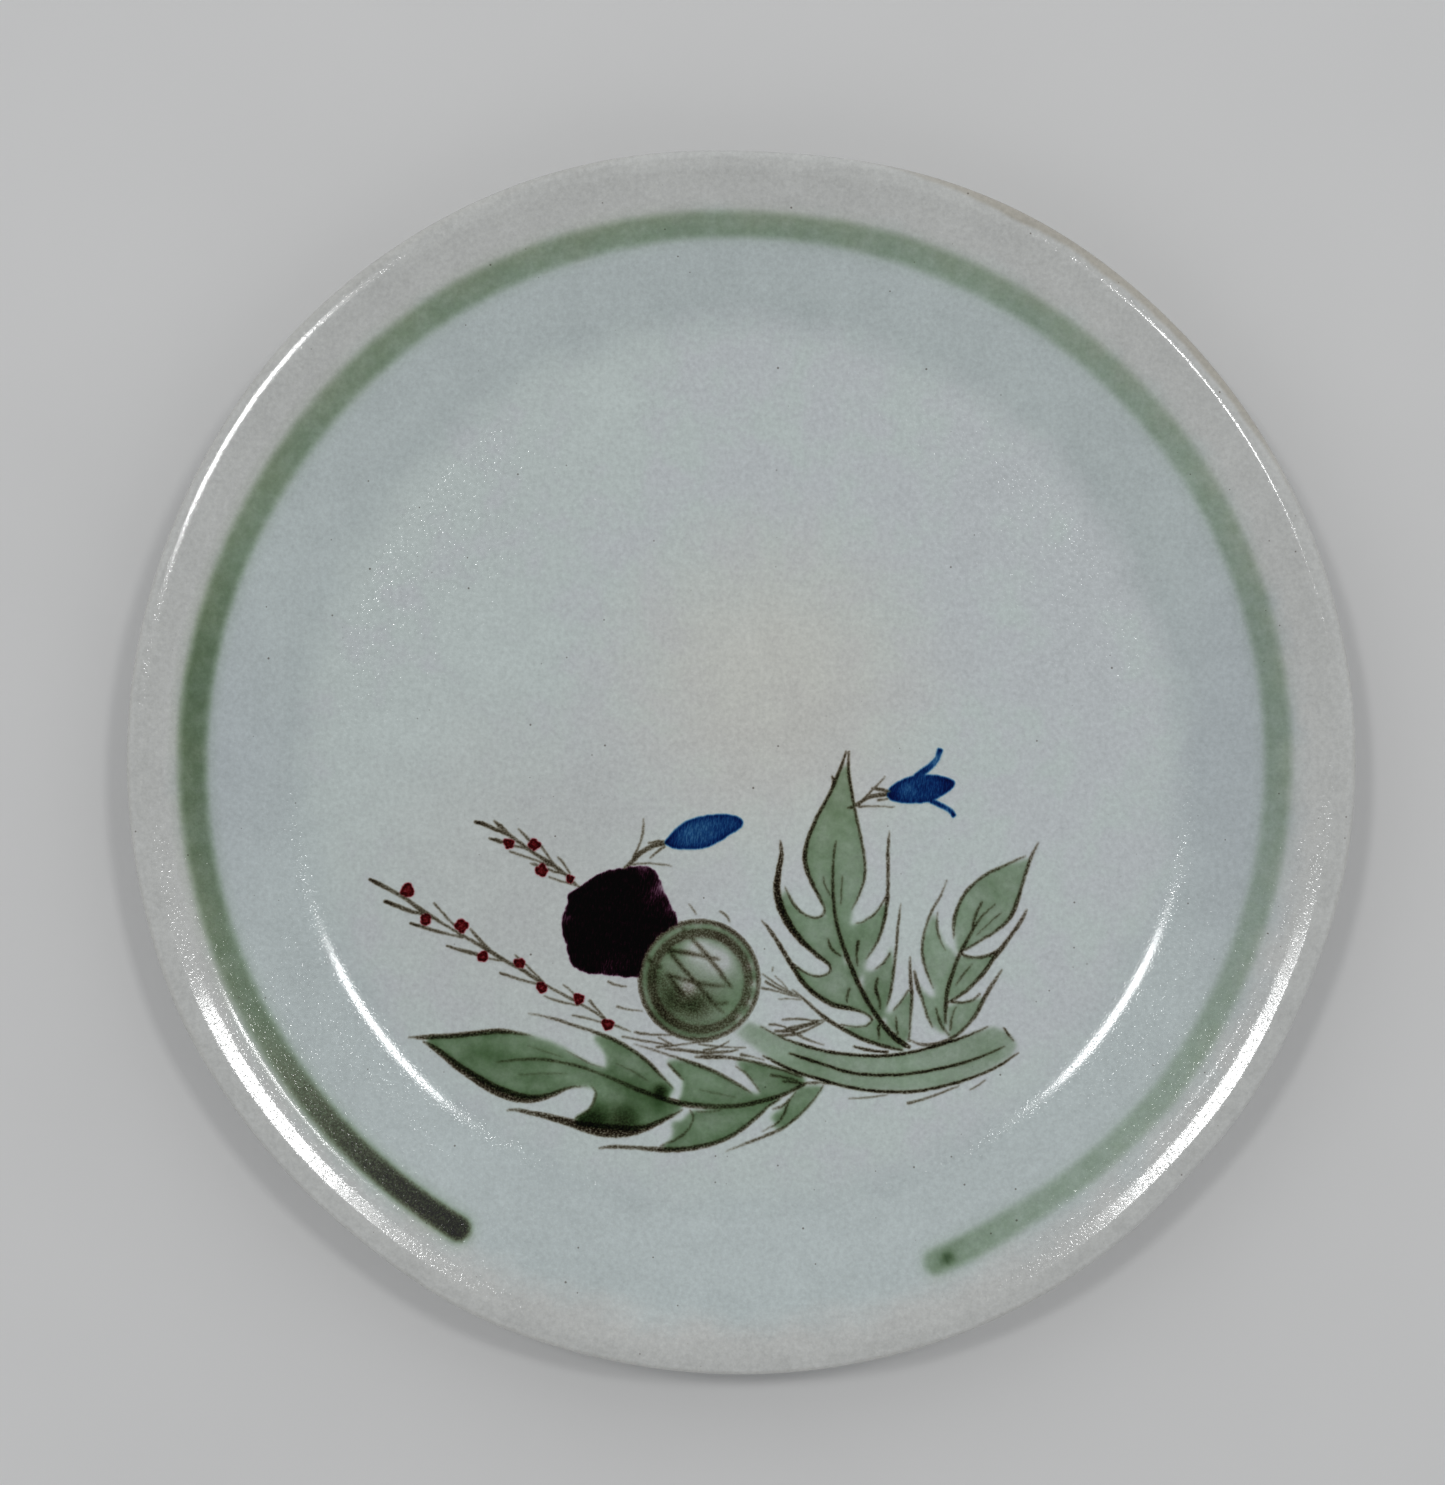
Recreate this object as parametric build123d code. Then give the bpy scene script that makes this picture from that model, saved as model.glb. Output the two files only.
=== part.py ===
"""Hand painted stoneware plate: clay body, glaze, and the painted marks fired onto the glaze.

Millimetres, +Z up. The plate rests on its foot ring, and the origin is the centre of that resting plane.
+Y points to the top of the painted decoration. Each node is one material layer or one group of brush marks.
"""

from build123d import *
import os

# ---------------------------------------------------------------- driving dimensions
PLATE_RADIUS = 127.0          # a ten inch plate
PLATE_HEIGHT = 22.6
WELL_HEIGHT = 10.8            # the flat well's surface above the table
WELL_RADIUS = 93.9            # where the well's plane would meet the wall
CREST_RADIUS = 120.4          # where the wall would meet the level crest
LIP_THICKNESS = 4.3
FOOT_OUTER_RADIUS = 86.5
FOOT_WIDTH = 6.0
FOOT_SHOULDER = 4.0           # height at which the foot ring meets the plate's back
RECESS_HEIGHT = 4.4           # height of the recess inside the foot ring
RECESS_DRAFT = 1.0

WELL_FILLET = 18.0
CREST_FILLET = 19.0
LIP_FILLET = 2.05
SHOULDER_FILLET = 3.0
FOOT_FILLET = 1.2
RECESS_FILLET = 2.5

GLAZE_THICKNESS = 0.35
BARE_FOOT = 1.6               # the foot ring is wiped clean of glaze below this height
WASH_THICKNESS = 0.06         # thin colour
LINE_THICKNESS = 0.10         # heavier brush lines
BAND_THICKNESS = 0.15         # the band is brushed on in several turns of the wheel

BAND_CENTRE = (-1.4, -0.4)    # the band was turned slightly off centre
BAND_RADIUS = 111.6
BAND_WIDTH = 5.6
BAND_START = -66.0            # degrees from +X
BAND_SWEEP = 302.0

BULB_CENTRE = (-8.8, -46.4)
BULB_RADIUS = 12.4
BULB_LINE = 0.7
INNER_RING_CENTRE = (-8.6, -46.6)
INNER_RING_RADIUS = 10.2
INNER_RING_WIDTH = 1.6

CURVE_STEPS = 4               # short chords between two points of a brush mark

# ---------------------------------------------------------------- brush marks
# A brush mark is a list of (x, y, width). A wash is a list of sides, each a smooth run of (x, y).

LEAF_LOW_LINES = [
    # main blade: upper edge, heavy lower edge, and the curl of its notch
    [(-70, -58.4, 0.3), (-65, -58.3, 1.0), (-58, -57.8, 1.0), (-51, -57.1, 1.1), (-46.5, -57.6, 0.6),
     (-43.5, -58.2, 0.2)],
    [(-66.9, -59.2, 0.4), (-64, -60.9, 1.2), (-60, -64.1, 1.6), (-56, -66.8, 1.9), (-52, -69.2, 2.2),
     (-48, -70.7, 2.2), (-44, -71.3, 1.7), (-40, -70.5, 1.1), (-36, -68.9, 0.6), (-32.3, -68.7, 0.3)],
    [(-31.6, -68.4, 0.3), (-30.6, -69.8, 0.6), (-30.9, -71.8, 0.6), (-32.2, -73.8, 0.5), (-34.8, -75.3, 0.3)],
    # second lobe's heavy lower edge
    [(-49.3, -73.8, 0.3), (-47.5, -73.6, 0.6), (-44, -74.3, 0.9), (-40, -75.2, 1.3), (-36, -76.3, 1.6),
     (-32, -77.4, 2.4), (-28, -78, 2.8), (-24, -78.1, 2.4), (-20, -77.4, 1.4), (-16, -75.6, 0.9),
     (-12.2, -73.6, 0.3)],
    # midrib, running into the stem
    [(-51.5, -63.6, 0.3), (-47, -63.1, 0.6), (-42, -63.0, 0.7), (-37.5, -63.7, 0.6), (-34, -64.5, 0.6),
     (-30, -65.9, 0.7), (-26.5, -67.3, 0.8), (-22, -69.3, 0.9), (-17.5, -70.8, 1.0), (-13.5, -72.1, 1.2),
     (-9.5, -72.7, 1.2), (-5, -72.9, 1.1), (0, -72.7, 1.0), (5, -71.6, 0.9), (9, -70.4, 0.8),
     (12.8, -68.5, 0.6), (15, -67.9, 0.4), (19, -68.2, 0.2)],
    # long upper lobe
    [(-45, -53.3, 0.2), (-40, -54.3, 0.5), (-35, -55.9, 0.6), (-31, -57.2, 0.7), (-27, -58.8, 0.8),
     (-23, -61, 0.8), (-20, -63.2, 0.8), (-17, -66.2, 0.6), (-14.2, -69.2, 0.3)],
    # next lobe along
    [(-22.7, -59.7, 0.2), (-18, -61.2, 0.4), (-14, -62.5, 0.5), (-10, -63.9, 0.7), (-6, -65.4, 0.8),
     (-3, -67, 0.7), (0, -68.7, 0.6), (2.3, -70.2, 0.3)],
    [(-15.5, -63.8, 0.4), (-13.6, -65.8, 0.6), (-11.9, -67.5, 0.3)],
    [(-1.3, -64.4, 0.3), (1, -65.9, 0.5), (2.6, -67.9, 0.4), (4.1, -69.9, 0.3)],
    # upper edge of the lobe beside the stem
    [(-9.8, -62.5, 0.4), (-7, -62.5, 0.9), (-3, -62.6, 0.7), (1, -63.2, 0.6), (5, -64.2, 0.6), (9, -65.4, 0.5),
     (13, -66.8, 0.3)],
    [(6, -66.3, 0.5), (9, -66.8, 0.5), (12, -67.5, 0.3)],
    [(8.7, -67.6, 0.4), (12, -68.0, 0.4), (16, -68.1, 0.3)],
    # third lobe: heavy lower edge and the curl above it
    [(-30, -81.7, 0.3), (-27, -81.4, 0.7), (-22, -81.6, 0.7), (-17, -82, 1.0), (-12, -81.9, 1.0), (-7, -81, 1.0),
     (-3, -79.6, 0.9), (0, -77.8, 0.9), (3, -75.4, 0.8), (6, -72.7, 0.5), (8.5, -71.2, 0.2)],
    [(-10.9, -73.7, 0.3), (-10.1, -74.8, 0.5), (-10.3, -76.4, 0.5), (-11.8, -78.5, 0.5), (-14, -80, 0.4),
     (-17, -81.2, 0.2)],
    [(-9.5, -74.0, 0.4), (-7, -74.1, 0.4), (-4, -73.8, 0.3)],
    # fourth, smallest lobe
    [(17.3, -68.5, 0.3), (15.5, -71.2, 0.4), (12.5, -74.5, 0.5), (9, -77.3, 0.6), (5.4, -79.0, 0.6), (1, -80.7, 0.5),
     (-3.4, -82.4, 0.2)],
    [(11.6, -69.8, 0.2), (10, -72, 0.3), (9, -74.5, 0.5), (7.5, -76.5, 0.4), (4.3, -78.2, 0.2)],
    [(6.6, -73.4, 0.3), (8.4, -73.0, 0.5), (10.2, -71.4, 0.3)],
    # fine veins
    [(-47, -66.3, 0.3), (-42, -66.0, 0.4), (-36.5, -66.0, 0.2)],
    [(-45, -60.1, 0.2), (-41, -61.4, 0.3), (-37.5, -62.6, 0.2)],
    [(-37, -61, 0.2), (-34, -62.7, 0.4), (-31.5, -64, 0.4), (-28.8, -64.7, 0.2)],
    [(-26.5, -63.8, 0.3), (-23, -65.4, 0.4), (-19.5, -67.6, 0.2)],
    [(-8.8, -69.4, 0.3), (-5, -70.2, 0.4), (-1, -71, 0.2)],
]

LEAF_LOW_WASH = [
    # main blade
    [[(-66, -58.9), (-59, -58.0), (-51, -57.3), (-45, -57.9), (-39.5, -59.6), (-35.5, -61.6), (-32, -63.8),
      (-28, -65.2)],
     [(-18, -66), (-15, -70), (-18, -73)],
     [(-26, -72), (-30.7, -71.5), (-30.9, -69.5), (-33, -68.4), (-36, -68.8), (-40, -70.3), (-44, -71.2),
      (-48, -70.8), (-54, -68.2), (-60, -64.0), (-64, -60.7)]],
    # long upper lobe
    [[(-31, -58.2), (-27, -58.9), (-23, -61.2), (-20, -63.4), (-17, -66.4), (-14.3, -69.3)],
     [(-16, -71.5), (-22, -70)],
     [(-27, -68), (-28.2, -65), (-28.4, -62), (-30.3, -59.5)]],
    # second lobe, heavy and dark
    [[(-30.8, -70), (-24, -68.5), (-17, -70.5), (-12.5, -72.6)],
     [(-13, -73.9), (-16, -75.7), (-20, -77.5), (-24, -78), (-28, -78), (-32, -77.3)],
     [(-34.6, -75.5), (-32.1, -73.7), (-30.9, -71.8)]],
    # lobes above the midrib
    [[(-15.6, -63.2), (-10, -63.9), (-6, -65.4), (-3, -67), (0, -68.7), (3, -70.3)],
     [(6, -71), (0, -72.6), (-6, -72.8), (-13, -72)],
     [(-12.2, -69.8), (-12.1, -67.6), (-13.7, -65.7)]],
    [[(-0.9, -63.4), (5, -64.4), (9, -65.6), (13.5, -67.2)],
     [(12.5, -68.6), (9, -70.3), (3.5, -71.8)],
     [(4, -69.8), (2.5, -67.8), (1, -65.9)]],
    # third lobe
    [[(-10.2, -73.9), (-4, -73.3), (3, -72.3), (8.2, -71.1)],
     [(6, -72.7), (3, -75.4), (0, -77.8), (-3, -79.6), (-7, -81), (-12, -81.8)],
     [(-16.4, -81.4), (-14.2, -79.0), (-14.4, -76.6), (-12.4, -76.0)]],
    # fourth lobe
    [[(17, -68.7), (15.4, -71.2), (12.4, -74.4), (9.5, -76.8), (7, -77.4)],
     [(7.5, -76.2), (6.3, -75.2), (8.6, -73.6), (10, -71.8), (12.6, -69.0)]],
]

LEAF_TALL_LINES = [
    # top blade: left edge into the first notch, right edge
    [(22.2, 1.9, 0.3), (20.7, -2.3, 0.5), (18.5, -7.5, 0.6), (16, -12, 0.6), (14, -17, 0.8), (13.4, -21, 0.9),
     (14.5, -25, 0.8), (16.4, -28.8, 0.6), (17.6, -31.5, 0.4), (16.8, -33, 0.4), (15, -33.2, 0.4),
     (12.8, -32.2, 0.5), (10.8, -30, 0.5), (9.2, -26.6, 0.2)],
    [(22.7, 1.8, 0.3), (22.6, -2.5, 0.5), (23.3, -7, 0.5), (24.1, -11.5, 0.5), (25.2, -16.5, 0.5),
     (26, -21.5, 0.5), (25.9, -25, 0.5), (24.8, -28.5, 0.4), (23.2, -31.8, 0.2)],
    [(19.0, -3.4, 0.3), (19.5, -4.8, 0.5), (18.6, -7.2, 0.3)],
    # midrib down to the stem
    [(20, -17, 0.4), (19.5, -20, 0.4), (19.3, -24, 0.5), (19.4, -29, 0.6), (20, -34, 0.7), (21.4, -39, 0.8),
     (23.1, -43.5, 0.9), (25.1, -48, 0.9), (27.6, -52.5, 0.9), (30.5, -56.5, 1.0), (33, -59, 1.2),
     (35.6, -60.6, 0.8)],
    # three left lobes, each a heavy edge that curls back into a notch
    [(8.2, -16.9, 0.3), (8.5, -19.8, 0.8), (7.9, -23.5, 1.1), (7.5, -27, 1.4), (8.3, -31, 1.6), (10.3, -35, 1.5),
     (13, -38.4, 1.1), (16, -41.1, 0.9), (18.4, -43.0, 0.6), (18.8, -44.4, 0.4), (17.4, -45.4, 0.4),
     (15.4, -45.5, 0.4), (13, -44.5, 0.4), (11, -43, 0.3)],
    [(4.3, -33.7, 0.3), (6.5, -36.5, 0.7), (8.7, -40, 0.8), (10.5, -43, 0.9), (13, -46.8, 0.9), (16, -49.6, 1.0),
     (19.5, -51.6, 1.0), (23, -52.3, 0.8), (26, -53.3, 0.5), (27.5, -54.6, 0.4), (26.3, -55.9, 0.3),
     (24, -56.2, 0.3), (21, -55.7, 0.2)],
    [(10.8, -48.3, 0.3), (13, -50.2, 0.5), (16, -52.9, 0.6), (19, -55.2, 0.8), (22.5, -57.2, 0.8),
     (26, -58.9, 0.8), (30, -60.2, 0.7), (34, -61.1, 0.4)],
    # three right lobes
    [(31.2, -14.8, 0.2), (30.9, -19, 0.6), (30.9, -25, 0.6), (30.7, -30, 0.7), (29.8, -35, 0.6), (28.3, -39, 0.5),
     (26.2, -42, 0.2)],
    [(30.4, -29.0, 0.3), (28.4, -32.1, 0.4), (25.8, -34, 0.3), (24, -34.5, 0.2)],
    [(33.6, -30.2, 0.2), (33, -35, 0.5), (32.6, -40, 0.5), (32, -45, 0.5), (31.4, -49, 0.5), (30.5, -52, 0.2)],
    [(31.4, -40.6, 0.4), (30, -42.7, 0.4), (28, -44.2, 0.2)],
    [(35.5, -41.3, 0.3), (35.6, -46, 0.6), (35.9, -50, 0.6), (35.6, -54.5, 0.4), (35.3, -59.3, 0.3)],
    [(35.2, -48.4, 0.3), (33.6, -50.9, 0.3), (32, -52.8, 0.3)],
    # short dabs and veins
    [(24.7, -38, 0.6), (24.3, -40.5, 0.5), (24.5, -43.5, 0.3)],
    [(28.7, -45.7, 0.4), (28.3, -48.3, 0.7), (29, -50.3, 0.5), (29.3, -52.5, 0.3)],
    [(18.2, -37.5, 0.3), (19, -39.7, 0.5), (21, -41.3, 0.3)],
    [(22.9, -48, 0.4), (22.3, -49.6, 0.4), (22.3, -51.1, 0.3)],
    [(29, -55.7, 0.5), (28.9, -57.2, 0.5), (29.1, -58.8, 0.3)],
    [(32.6, -53.8, 0.3), (32.7, -56, 0.4), (33, -57.7, 0.3)],
    [(17.2, -24.4, 0.2), (17.7, -26.5, 0.3), (18.7, -28.6, 0.2)],
    [(21.3, -24.2, 0.2), (21.1, -27.5, 0.3), (21, -30.5, 0.2)],
]

LEAF_TALL_WASH = [
    # top blade
    [[(22.4, -1), (20.2, -4), (17, -10.5), (14.5, -16.6), (13.8, -21), (15, -25.5), (17, -29.6), (17.8, -33)],
     [(20.5, -39), (22.8, -35)],
     [(23.4, -31), (25.4, -27), (25.9, -21.5), (25.1, -16), (23.9, -10.5), (22.9, -5)]],
    # left lobes
    [[(9.2, -27.5), (8.6, -31), (10.5, -35), (13, -38.3), (16, -41.1), (18.9, -43.8)],
     [(22, -44), (20.2, -36), (18.5, -33.2)],
     [(16.5, -33.2), (14, -32.9), (12, -31.4), (10.4, -29.3)]],
    [[(11.2, -43.6), (13.2, -46.9), (16.2, -49.6), (19.6, -51.6), (23, -52.3), (27, -54)],
     [(28.5, -53.5), (25.5, -48), (22.5, -43)],
     [(19.5, -43.6), (18.2, -45.3), (15.5, -45.6), (13.2, -44.7)]],
    [[(20.4, -56.1), (22.6, -57.2), (26, -58.8), (30, -60.1), (34, -60.9)],
     [(34.5, -60), (30.5, -56.2), (28.5, -53.8)],
     [(27.6, -54.9), (25.8, -56.1), (23, -56.3)]],
    # right lobes
    [[(30.3, -30.3), (28.2, -32.6), (25.8, -34.2), (23.4, -34.8), (21.2, -34)],
     [(21.5, -39), (24.5, -46), (26, -44)],
     [(26.4, -41.8), (28.3, -38.9), (29.7, -35)]],
    [[(31.6, -39.4), (30, -42.8), (28, -44.5), (25.8, -44.2)],
     [(25.8, -48), (29, -54), (30.4, -54)],
     [(30.6, -51.6), (31.3, -49), (31.9, -44.5)]],
    [[(35.5, -48.6), (33.5, -51.2), (31.6, -53.3), (30.2, -53.2)],
     [(31, -56), (34.5, -59.4)],
     [(35.3, -58), (35.7, -53.5)]],
]

LEAF_RIGHT_LINES = [
    # top blade
    [(59.9, -20.2, 0.3), (56, -22, 0.5), (51.5, -24.2, 0.6), (48, -27, 0.6), (45.8, -30.5, 0.7), (44.8, -34, 0.7),
     (44.7, -37.8, 0.2)],
    [(62.6, -17.3, 0.3), (61, -20.5, 0.6), (59.6, -24.5, 0.6), (58.3, -29, 0.8), (56.7, -33, 0.8),
     (53.8, -35.9, 0.6), (50.5, -37.9, 0.5), (48, -39.5, 0.5), (46.4, -40.1, 0.3)],
    # notches and lobes on the right
    [(46.2, -40.4, 0.4), (47.4, -41.4, 0.5), (50, -41.6, 0.6), (52.5, -41, 0.7), (54.9, -39.5, 0.5)],
    [(60.2, -31.4, 0.3), (58.5, -34.5, 0.8), (56, -38, 0.8), (53.5, -41.3, 0.9), (51, -44.8, 0.8), (48, -48, 0.7),
     (45.5, -49.9, 0.6), (43.3, -51.2, 0.4)],
    [(44.2, -50.9, 0.3), (46, -51.1, 0.5), (48.4, -50.7, 0.5), (50.3, -49.2, 0.4)],
    [(55, -44, 0.3), (53, -47, 0.7), (51.2, -50, 0.8), (49.4, -53.5, 0.7), (47.4, -56, 0.6), (45, -58.1, 0.6),
     (41.8, -59.5, 0.5), (38, -59.9, 0.5), (35, -58.7, 0.3)],
    # left edge and the small lower blade
    [(43.3, -25.1, 0.2), (42, -28.5, 0.5), (40, -32, 0.5), (38.6, -36, 0.5), (38.1, -40.5, 0.6), (39, -44.5, 0.5),
     (40.5, -48.2, 0.2)],
    [(36.4, -44.3, 0.4), (37.2, -47.8, 0.8), (38.3, -51, 0.5), (39.2, -54, 0.5), (40.3, -56.4, 0.3)],
    # midrib and veins
    [(53.5, -30.3, 0.3), (51, -32.6, 0.4), (49.3, -34.8, 0.6), (47.5, -38, 0.7), (45.8, -41.2, 0.7),
     (44.6, -44.5, 0.8), (43.5, -48, 0.8), (43, -51.8, 0.8), (43, -55.5, 0.4)],
    [(50.8, -29.8, 0.4), (49.4, -32.5, 0.5), (48.6, -35.2, 0.3)],
    [(54.8, -32.1, 0.3), (52, -34.5, 0.3), (49.5, -37, 0.2)],
    [(41.3, -32, 0.2), (41.2, -35.5, 0.5), (42, -38.2, 0.3), (43, -40.2, 0.2)],
    [(48.6, -43, 0.3), (46.5, -45.4, 0.4), (45.1, -47.6, 0.2)],
    [(41, -52, 0.3), (41.4, -54, 0.5), (42.4, -56.3, 0.5), (43.8, -58.0, 0.3)],
    [(45.2, -52, 0.3), (44.4, -54, 0.4), (44, -57, 0.4)],
]

LEAF_RIGHT_WASH = [
    # top blade
    [[(60.6, -20.8), (56, -22.4), (51.5, -24.5), (48.2, -27.2), (46, -30.8), (45.1, -34), (45.2, -38.5)],
     [(45.6, -41), (48.4, -39.2)],
     [(50.6, -37.8), (53.8, -35.8), (56.6, -32.9), (58.2, -29), (59.5, -24.5)]],
    # right lobes
    [[(55.2, -39.4), (52.4, -41), (50, -41.8), (47, -41.4), (45.2, -42.4)],
     [(43.8, -47.5), (43.6, -50.6)],
     [(48, -48), (51, -44.8), (53.4, -41.3)]],
    [[(50.6, -50.2), (48, -51), (45.6, -51.4), (43.4, -52)],
     [(43.6, -58.2), (45, -58)],
     [(47.3, -56), (49.3, -53.4)]],
    # left lobes
    [[(40.6, -32.5), (39, -36), (38.4, -40.5), (39.3, -44.5), (40.6, -47.8), (41, -50.5)],
     [(42.9, -51.5), (43.5, -47)],
     [(45.2, -41.6), (44.3, -40.2), (42.6, -38.6), (41.5, -35.6)]],
    [[(37.2, -46.6), (38.4, -50.6), (39.3, -53.8), (41, -56.6), (43.2, -57.8)],
     [(43, -52), (41, -50)],
     [(39.6, -49.9), (38.2, -48.6)]],
]

STEM_WASH = [
    [[(1.8, -55.2), (4.5, -56.3), (8, -58), (12, -59.7), (17, -61.1), (23, -62.0), (30, -62.2), (37, -61.2),
      (44, -59.4), (49, -57.6), (53, -56.2)],
     [(55.5, -57.2), (58, -60)],
     [(57, -61.9), (52, -65), (46, -67.4), (39, -69), (31, -69.4), (24, -68.9), (18, -67.3), (12, -65.4),
      (7.5, -63.3), (3, -60.6), (-1.2, -57.5)]],
]

STEM_LINES = [
    [(4, -56, 0.2), (8, -58.2, 0.3), (12, -59.7, 0.4), (16, -60.9, 0.5), (20, -61.7, 0.5), (25, -62.2, 0.5),
     (30, -62.3, 0.5), (35, -61.7, 0.5), (40, -60.5, 0.4), (45, -59, 0.4), (49, -57.5, 0.3), (52, -56.1, 0.2)],
    [(10, -61.7, 0.3), (14, -63, 0.5), (18, -64.3, 0.5), (23, -65.8, 0.5), (28, -66.3, 0.5), (34, -66.2, 0.5),
     (40, -65.3, 0.5), (45, -64.2, 0.5), (49, -63, 0.4), (53, -61.4, 0.3), (55.5, -60.2, 0.2)],
    [(4.5, -62.2, 0.3), (8, -64, 0.5), (12, -65.8, 0.5), (16, -67, 0.5), (20, -68.2, 0.5), (25, -69.3, 0.5),
     (30, -69.8, 0.5), (36, -69.8, 0.5), (41, -69, 0.5), (46, -67.7, 0.5), (50, -66.3, 0.4), (54, -64.5, 0.4),
     (58.5, -61.5, 0.2)],
    [(55.2, -56.3, 0.2), (56, -57.5, 0.4), (57.3, -59.2, 0.2)],
    [(23.5, -60.2, 0.4), (27, -61.1, 0.4), (31, -61.5, 0.3)],
]

GRASS_STROKES = [
    # under the stem
    [(22.5, -71.3, 0.2), (27, -71, 0.3), (31, -70.4, 0.2)],
    [(34.8, -72.3, 0.6), (38, -71.5, 0.4), (42, -70.1, 0.4), (46, -68.5, 0.2)],
    [(48, -69.5, 0.2), (49.8, -68.5, 0.3), (51.5, -67.3, 0.2)],
    # tuft under the bulb
    [(-22.5, -57.3, 0.5), (-19, -57.8, 0.4), (-14.5, -57.9, 0.2)],
    [(-25.2, -58.2, 0.3), (-20, -59.2, 0.4), (-15, -60, 0.2)],
    [(-17.5, -58.3, 0.3), (-15.3, -59.5, 0.4), (-13.5, -60.3, 0.2)],
    [(-18, -60.5, 0.5), (-14, -60.1, 0.3), (-9, -59.4, 0.3), (-6, -59.2, 0.2)],
    [(-16, -60.8, 0.3), (-12, -61.1, 0.6), (-8, -61.6, 0.6), (-3, -61.4, 0.5), (-0.5, -61, 0.2)],
    [(-8, -61.1, 0.3), (-5.5, -60.7, 0.4), (-3.7, -59.9, 0.3), (-2.5, -59.2, 0.2)],
    [(-9, -59.8, 0.3), (-5, -60.3, 0.3), (1, -60.6, 0.2)],
    [(-0.2, -62.0, 0.6), (2.4, -62.5, 0.3), (5, -63.2, 0.2)],
    # tuft right of the bulb
    [(4.4, -45, 0.2), (7.5, -47.2, 0.3), (11, -49.2, 0.2)],
    [(5, -46.6, 0.5), (8, -48.2, 0.3), (12, -49.7, 0.2)],
    [(4.2, -48, 0.4), (8, -48.8, 0.3), (12.6, -50.1, 0.2)],
    [(7, -45.4, 0.2), (8.4, -46.6, 0.2), (9.8, -48.2, 0.2)],
    [(7.8, -50.3, 0.2), (10.4, -50.3, 0.2), (12.7, -50.5, 0.2)],
    [(6.7, -43.6, 0.3), (6.6, -44.1, 0.3), (6.5, -44.6, 0.2)],
    # feathery tuft above the stem
    [(5.8, -55.6, 0.4), (8.5, -56, 0.4), (11, -57.3, 0.6), (14, -58.9, 0.4), (17.5, -60, 0.2)],
    [(8.5, -54.7, 0.4), (12, -54.5, 0.4), (15.5, -54.9, 0.3), (17.8, -54.7, 0.3)],
    [(9.8, -56.4, 0.3), (13, -55.8, 0.5), (16, -55.1, 0.3)],
    [(7, -57.1, 0.5), (10, -57, 0.6), (13, -56.3, 0.4), (16.5, -55.2, 0.2)],
    [(7.6, -58, 0.5), (11, -57.8, 0.5), (14, -56.8, 0.4), (17.6, -55, 0.2)],
    # loose dashes round the bulb
    [(-28, -46.6, 0.5), (-26.5, -47.3, 0.4), (-24, -47.8, 0.2)],
    [(-26.2, -51.9, 0.5), (-23.8, -52.5, 0.3), (-20.6, -52.9, 0.2)],
    [(-11, -30.3, 0.2), (-10.1, -31.4, 0.3), (-9.4, -32.6, 0.2)],
    [(-4.5, -31.8, 0.3), (-3, -32.9, 0.4), (-2.3, -34.2, 0.2)],
]

BULB_HATCHING = [
    [(-12.5, -35.3, 0.3), (-9.5, -38.5, 0.5), (-6.5, -42, 0.6), (-3.8, -45.5, 0.5), (-2, -48, 0.3)],
    [(-16.3, -38.7, 0.4), (-13.5, -42.3, 0.5), (-10.5, -45.8, 0.6), (-8.2, -48.4, 0.5), (-5.8, -51.2, 0.3),
     (-3.6, -53.4, 0.2)],
    [(-14.9, -45.6, 0.4), (-13.8, -47.5, 0.6), (-12.2, -49.6, 0.6)],
    [(-16.5, -40.1, 0.8), (-12, -40.5, 0.7), (-8, -41.3, 0.5), (-4.5, -42, 0.3)],
    [(-15.5, -45.2, 0.4), (-11, -46.5, 0.5), (-7, -47.3, 0.4), (-3.3, -47.6, 0.2)],
    [(-19.6, -41.8, 0.5), (-18.2, -43.0, 0.6), (-16.8, -43.6, 0.3)],
    [(-5.5, -51.3, 0.2), (-4.2, -51.3, 0.3), (-2.8, -51.1, 0.3)],
]

THISTLE_FLOWER = [
    (-34, -27), (-31.5, -25.1), (-28.5, -23.6), (-25, -22.9), (-22, -22.5), (-19.3, -22.7), (-17.6, -24.4),
    (-16.4, -27.2), (-15.1, -30.2), (-13.7, -32.9), (-13.9, -35.2), (-17, -40), (-20.8, -44), (-21.4, -45.4),
    (-24.5, -45.6), (-28.5, -45.1), (-32, -44.8), (-34.6, -43.9), (-36, -41.8), (-36.6, -39), (-37.5, -36),
    (-37.4, -33), (-36.5, -30.4), (-36, -28),
]

BLUEBELL_LEFT = [
    (-16.1, -17.6), (-14, -14.9), (-11.5, -13.0), (-8, -11.9), (-4, -11.5), (-1.2, -11.9), (0.3, -12.9),
    (0, -14.2), (-2.5, -15.8), (-5, -17.4), (-8, -18.6), (-12, -18.8), (-15, -18.4),
]

BLUEBELL_RIGHT = [
    (30.4, -7.2), (32, -5.4), (34, -4.2), (36.6, -3.4), (40, -3.2), (43.5, -3.9), (44.9, -4.8), (44.3, -6.1),
    (42.4, -7.4), (40, -8.7), (37, -9.1), (33.5, -9), (31, -8.2),
]

BLUEBELL_PETALS = [
    [(36.6, -3.8, 1.3), (39.4, -1.7, 1.3), (41.2, 0.2, 1.2), (41.9, 2.3, 1.0)],
    [(39.6, -8.5, 0.8), (42.5, -9.9, 0.9), (44, -10.8, 0.9), (44.9, -11.9, 0.8)],
]

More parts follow.
